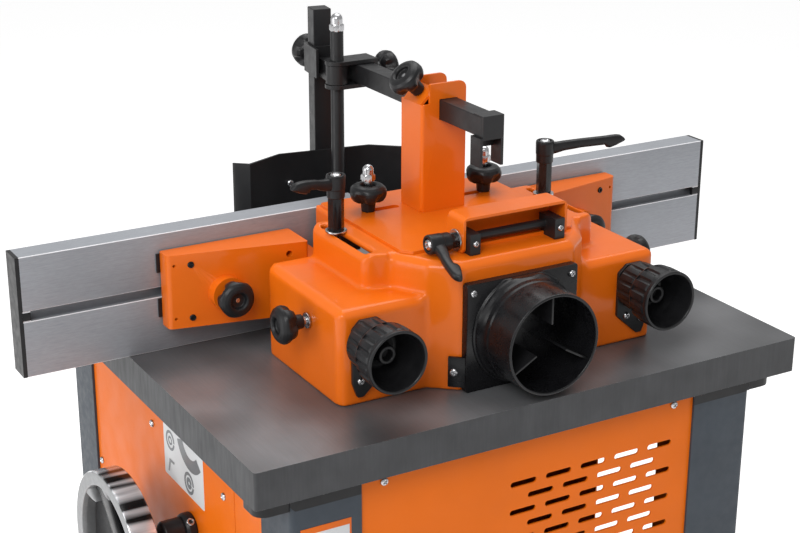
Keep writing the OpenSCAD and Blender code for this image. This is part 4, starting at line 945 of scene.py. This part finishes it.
def hood_parts():
    cast_hood()
    dust_port()
    dressed("knob_brackets", 0.5)
    dressed("top_plate", 0.7)
    near_left = lambda a, b: upright(a, b) and abs(a.x + 25) < 0.2 and abs(a.y + 107) < 0.2
    dressed("guard_column", 0.7, bends=[(near_left, 3.5, None)])
    dressed("bar_cover", 0.7, bends=[(cover_edge, 5.5, None)])
    dressed("cross_bar", 0.6)
    levers = {"left": (193, 54), "right": (-17, 85)}
    for side in SIDES:
        cup_knob(side)
        knob_pieces(f"{side}_side_knob", f"{side}_cheek_knob_turn", 15.5, 6.5)
        knob_pieces(f"{side}_plate_knob", f"{side}_top_knob_turn", 9.5, cap=True)
        turn, arm = levers[side]
        along = (math.cos(math.radians(turn)), math.sin(math.radians(turn)), 0)
        clamp_lever(f"{side}_clamp_lever", at_joint(f"{side}_lever_turn", along), 34, arm, 56)
    down = math.radians(18)
    place = at_joint("cover_lever_turn", (0, -math.cos(down), -math.sin(down)))
    clamp_lever("cover_lever", place, 8, 56, 12)
    lock_handle()


def guard_parts():
    widths = {"arm": 1.2, "arm_stop": 1.0, "arm_bracket": 0.6, "mast_clamp": 0.6, "mast": 1.2, "guard": 0.5}
    for node, width in widths.items():
        dressed(node, width)
    bolt_place = at((-59.6, 112.4, TABLE + 105.4), (-0.148, -0.989, 0))
    piece("guard_bolt", crossed_head(8, 3), "mast_unit", "bright_steel", ZINC_PLATE, bolt_place)
    knob_pieces("arm_knob", "arm_knob_turn", 12, 1)
    knob_pieces("bracket_knob", "bracket_knob_turn", 8)
    knob_pieces("mast_knob", "mast_knob_turn", 16, 4)
    place, rod_top = at((-22, 72, TABLE)), 276
    profile = [(0, 33), (12, 33), (12, 41), (7, 41), (7, rod_top), (0, rod_top)]
    shaft = turned(eased(profile, 0.6, 2), 48)
    piece("guide_rod_shaft", shaft, "rod", SLOT["guide_rod"], FINISH["black_steel"], place, ["guide_rod"])
    nut = moved(cap_nut(13.4, 7.5, 6.3, 11), Matrix.Translation((0, 0, rod_top)))
    piece("guide_rod_nut", nut, "rod", "bright_steel", ZINC_PLATE, place)


def spindle_and_inside():
    """The nodes whose own shape is right keep it and get their finish."""
    hidden_behind = {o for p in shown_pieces() for o in p.get("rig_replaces", [])}
    for node, obj in NODES.items():
        if node not in hidden_behind and not obj.hide_render:
            obj.data.materials.clear()
            obj.data.materials.append(FINISH[SLOT[node]])


cabinet()
table()
hood_parts()
fences()
guard_parts()
handwheel()
crank()
spindle_and_inside()


# Camera, floor and light


def backdrop(name, colour):
    """White to the camera and in reflections, a pale matte floor to everything else."""
    material = bpy.data.materials.new(name)
    material.use_nodes = True
    tree = material.node_tree
    shader = tree.nodes["Principled BSDF"]
    shader.inputs["Base Color"].default_value = (*colour, 1)
    shader.inputs["Roughness"].default_value = 0.9
    path = tree.nodes.new("ShaderNodeLightPath")
    seen = path.outputs["Is Camera Ray"]
    for other in ("Is Glossy Ray", "Is Transmission Ray"):
        both = tree.nodes.new("ShaderNodeMath")
        both.operation = "MAXIMUM"
        tree.links.new(seen, both.inputs[0])
        tree.links.new(path.outputs[other], both.inputs[1])
        seen = both.outputs[0]
    glow = tree.nodes.new("ShaderNodeEmission")
    glow.inputs["Color"].default_value = (1, 1, 1, 1)
    lit = tree.nodes.new("ShaderNodeMath")
    lit.operation = "MULTIPLY"
    lit.inputs[1].default_value = 0.55
    tree.links.new(seen, lit.inputs[0])
    tree.links.new(lit.outputs[0], glow.inputs["Strength"])
    total = tree.nodes.new("ShaderNodeAddShader")
    tree.links.new(shader.outputs[0], total.inputs[0])
    tree.links.new(glow.outputs[0], total.inputs[1])
    tree.links.new(total.outputs[0], tree.nodes["Material Output"].inputs["Surface"])
    return material


def stage():
    half = 30.0
    bm = bmesh.new()
    bmesh.ops.create_grid(bm, x_segments=1, y_segments=1, size=half)
    mesh = bpy.data.meshes.new("floor")
    bm.to_mesh(mesh)
    bm.free()
    floor = bpy.data.objects.new("floor", mesh)
    floor.location.z = -0.0005
    mesh.materials.append(backdrop("pale_floor", (0.8, 0.8, 0.8)))
    bpy.context.scene.collection.objects.link(floor)


def lamp(name, place, target, size, watts):
    light = bpy.data.lights.new(name, "AREA")
    light.shape = "RECTANGLE"
    light.size, light.size_y = size
    light.energy = watts
    obj = bpy.data.objects.new(name, light)
    obj.location = place
    obj.rotation_euler = (Vector(target) - Vector(place)).to_track_quat("-Z", "Y").to_euler()
    bpy.context.scene.collection.objects.link(obj)


def lighting():
    world = bpy.data.worlds.new("studio")
    world.use_nodes = True
    sky = world.node_tree.nodes["Background"]
    sky.inputs["Color"].default_value = (1, 1, 1, 1)
    sky.inputs["Strength"].default_value = 0.5
    bpy.context.scene.world = world
    middle = (0, 0, 0.85)
    lamp("key", (-2.0, -1.9, 3.0), middle, (1.6, 1.6), 60)
    lamp("top", (0.6, 0.6, 3.2), middle, (2.2, 2.2), 42)
    lamp("left_wall", (-3.0, 0.2, 1.4), middle, (1.6, 2.0), 26)


def camera():
    """The photograph's own viewpoint, solved from the table's and the fence's edges."""
    yaw, pitch, roll = (math.radians(a) for a in (30.01, 20.20, -0.192))
    focal_px, width_px, sensor = 1659.1, 800, 36
    forward = Vector((math.sin(yaw) * math.cos(pitch), math.cos(yaw) * math.cos(pitch), -math.sin(pitch)))
    level = Vector((math.cos(yaw), -math.sin(yaw), 0))
    down = forward.cross(level)
    right = level * math.cos(roll) + down * math.sin(roll)
    up = level * math.sin(roll) - down * math.cos(roll)
    data = bpy.data.cameras.new("camera")
    data.sensor_width = sensor
    data.lens = focal_px / width_px * sensor
    data.clip_end = 100
    obj = bpy.data.objects.new("camera", data)
    rotation = Matrix((right, up, -forward)).transposed().to_4x4()
    obj.matrix_world = Matrix.Translation((-0.8149, -1.4338, 1.5011)) @ rotation
    bpy.context.scene.collection.objects.link(obj)
    bpy.context.scene.camera = obj


stage()
lighting()
camera()
bpy.context.scene.view_settings.view_transform = "Standard"
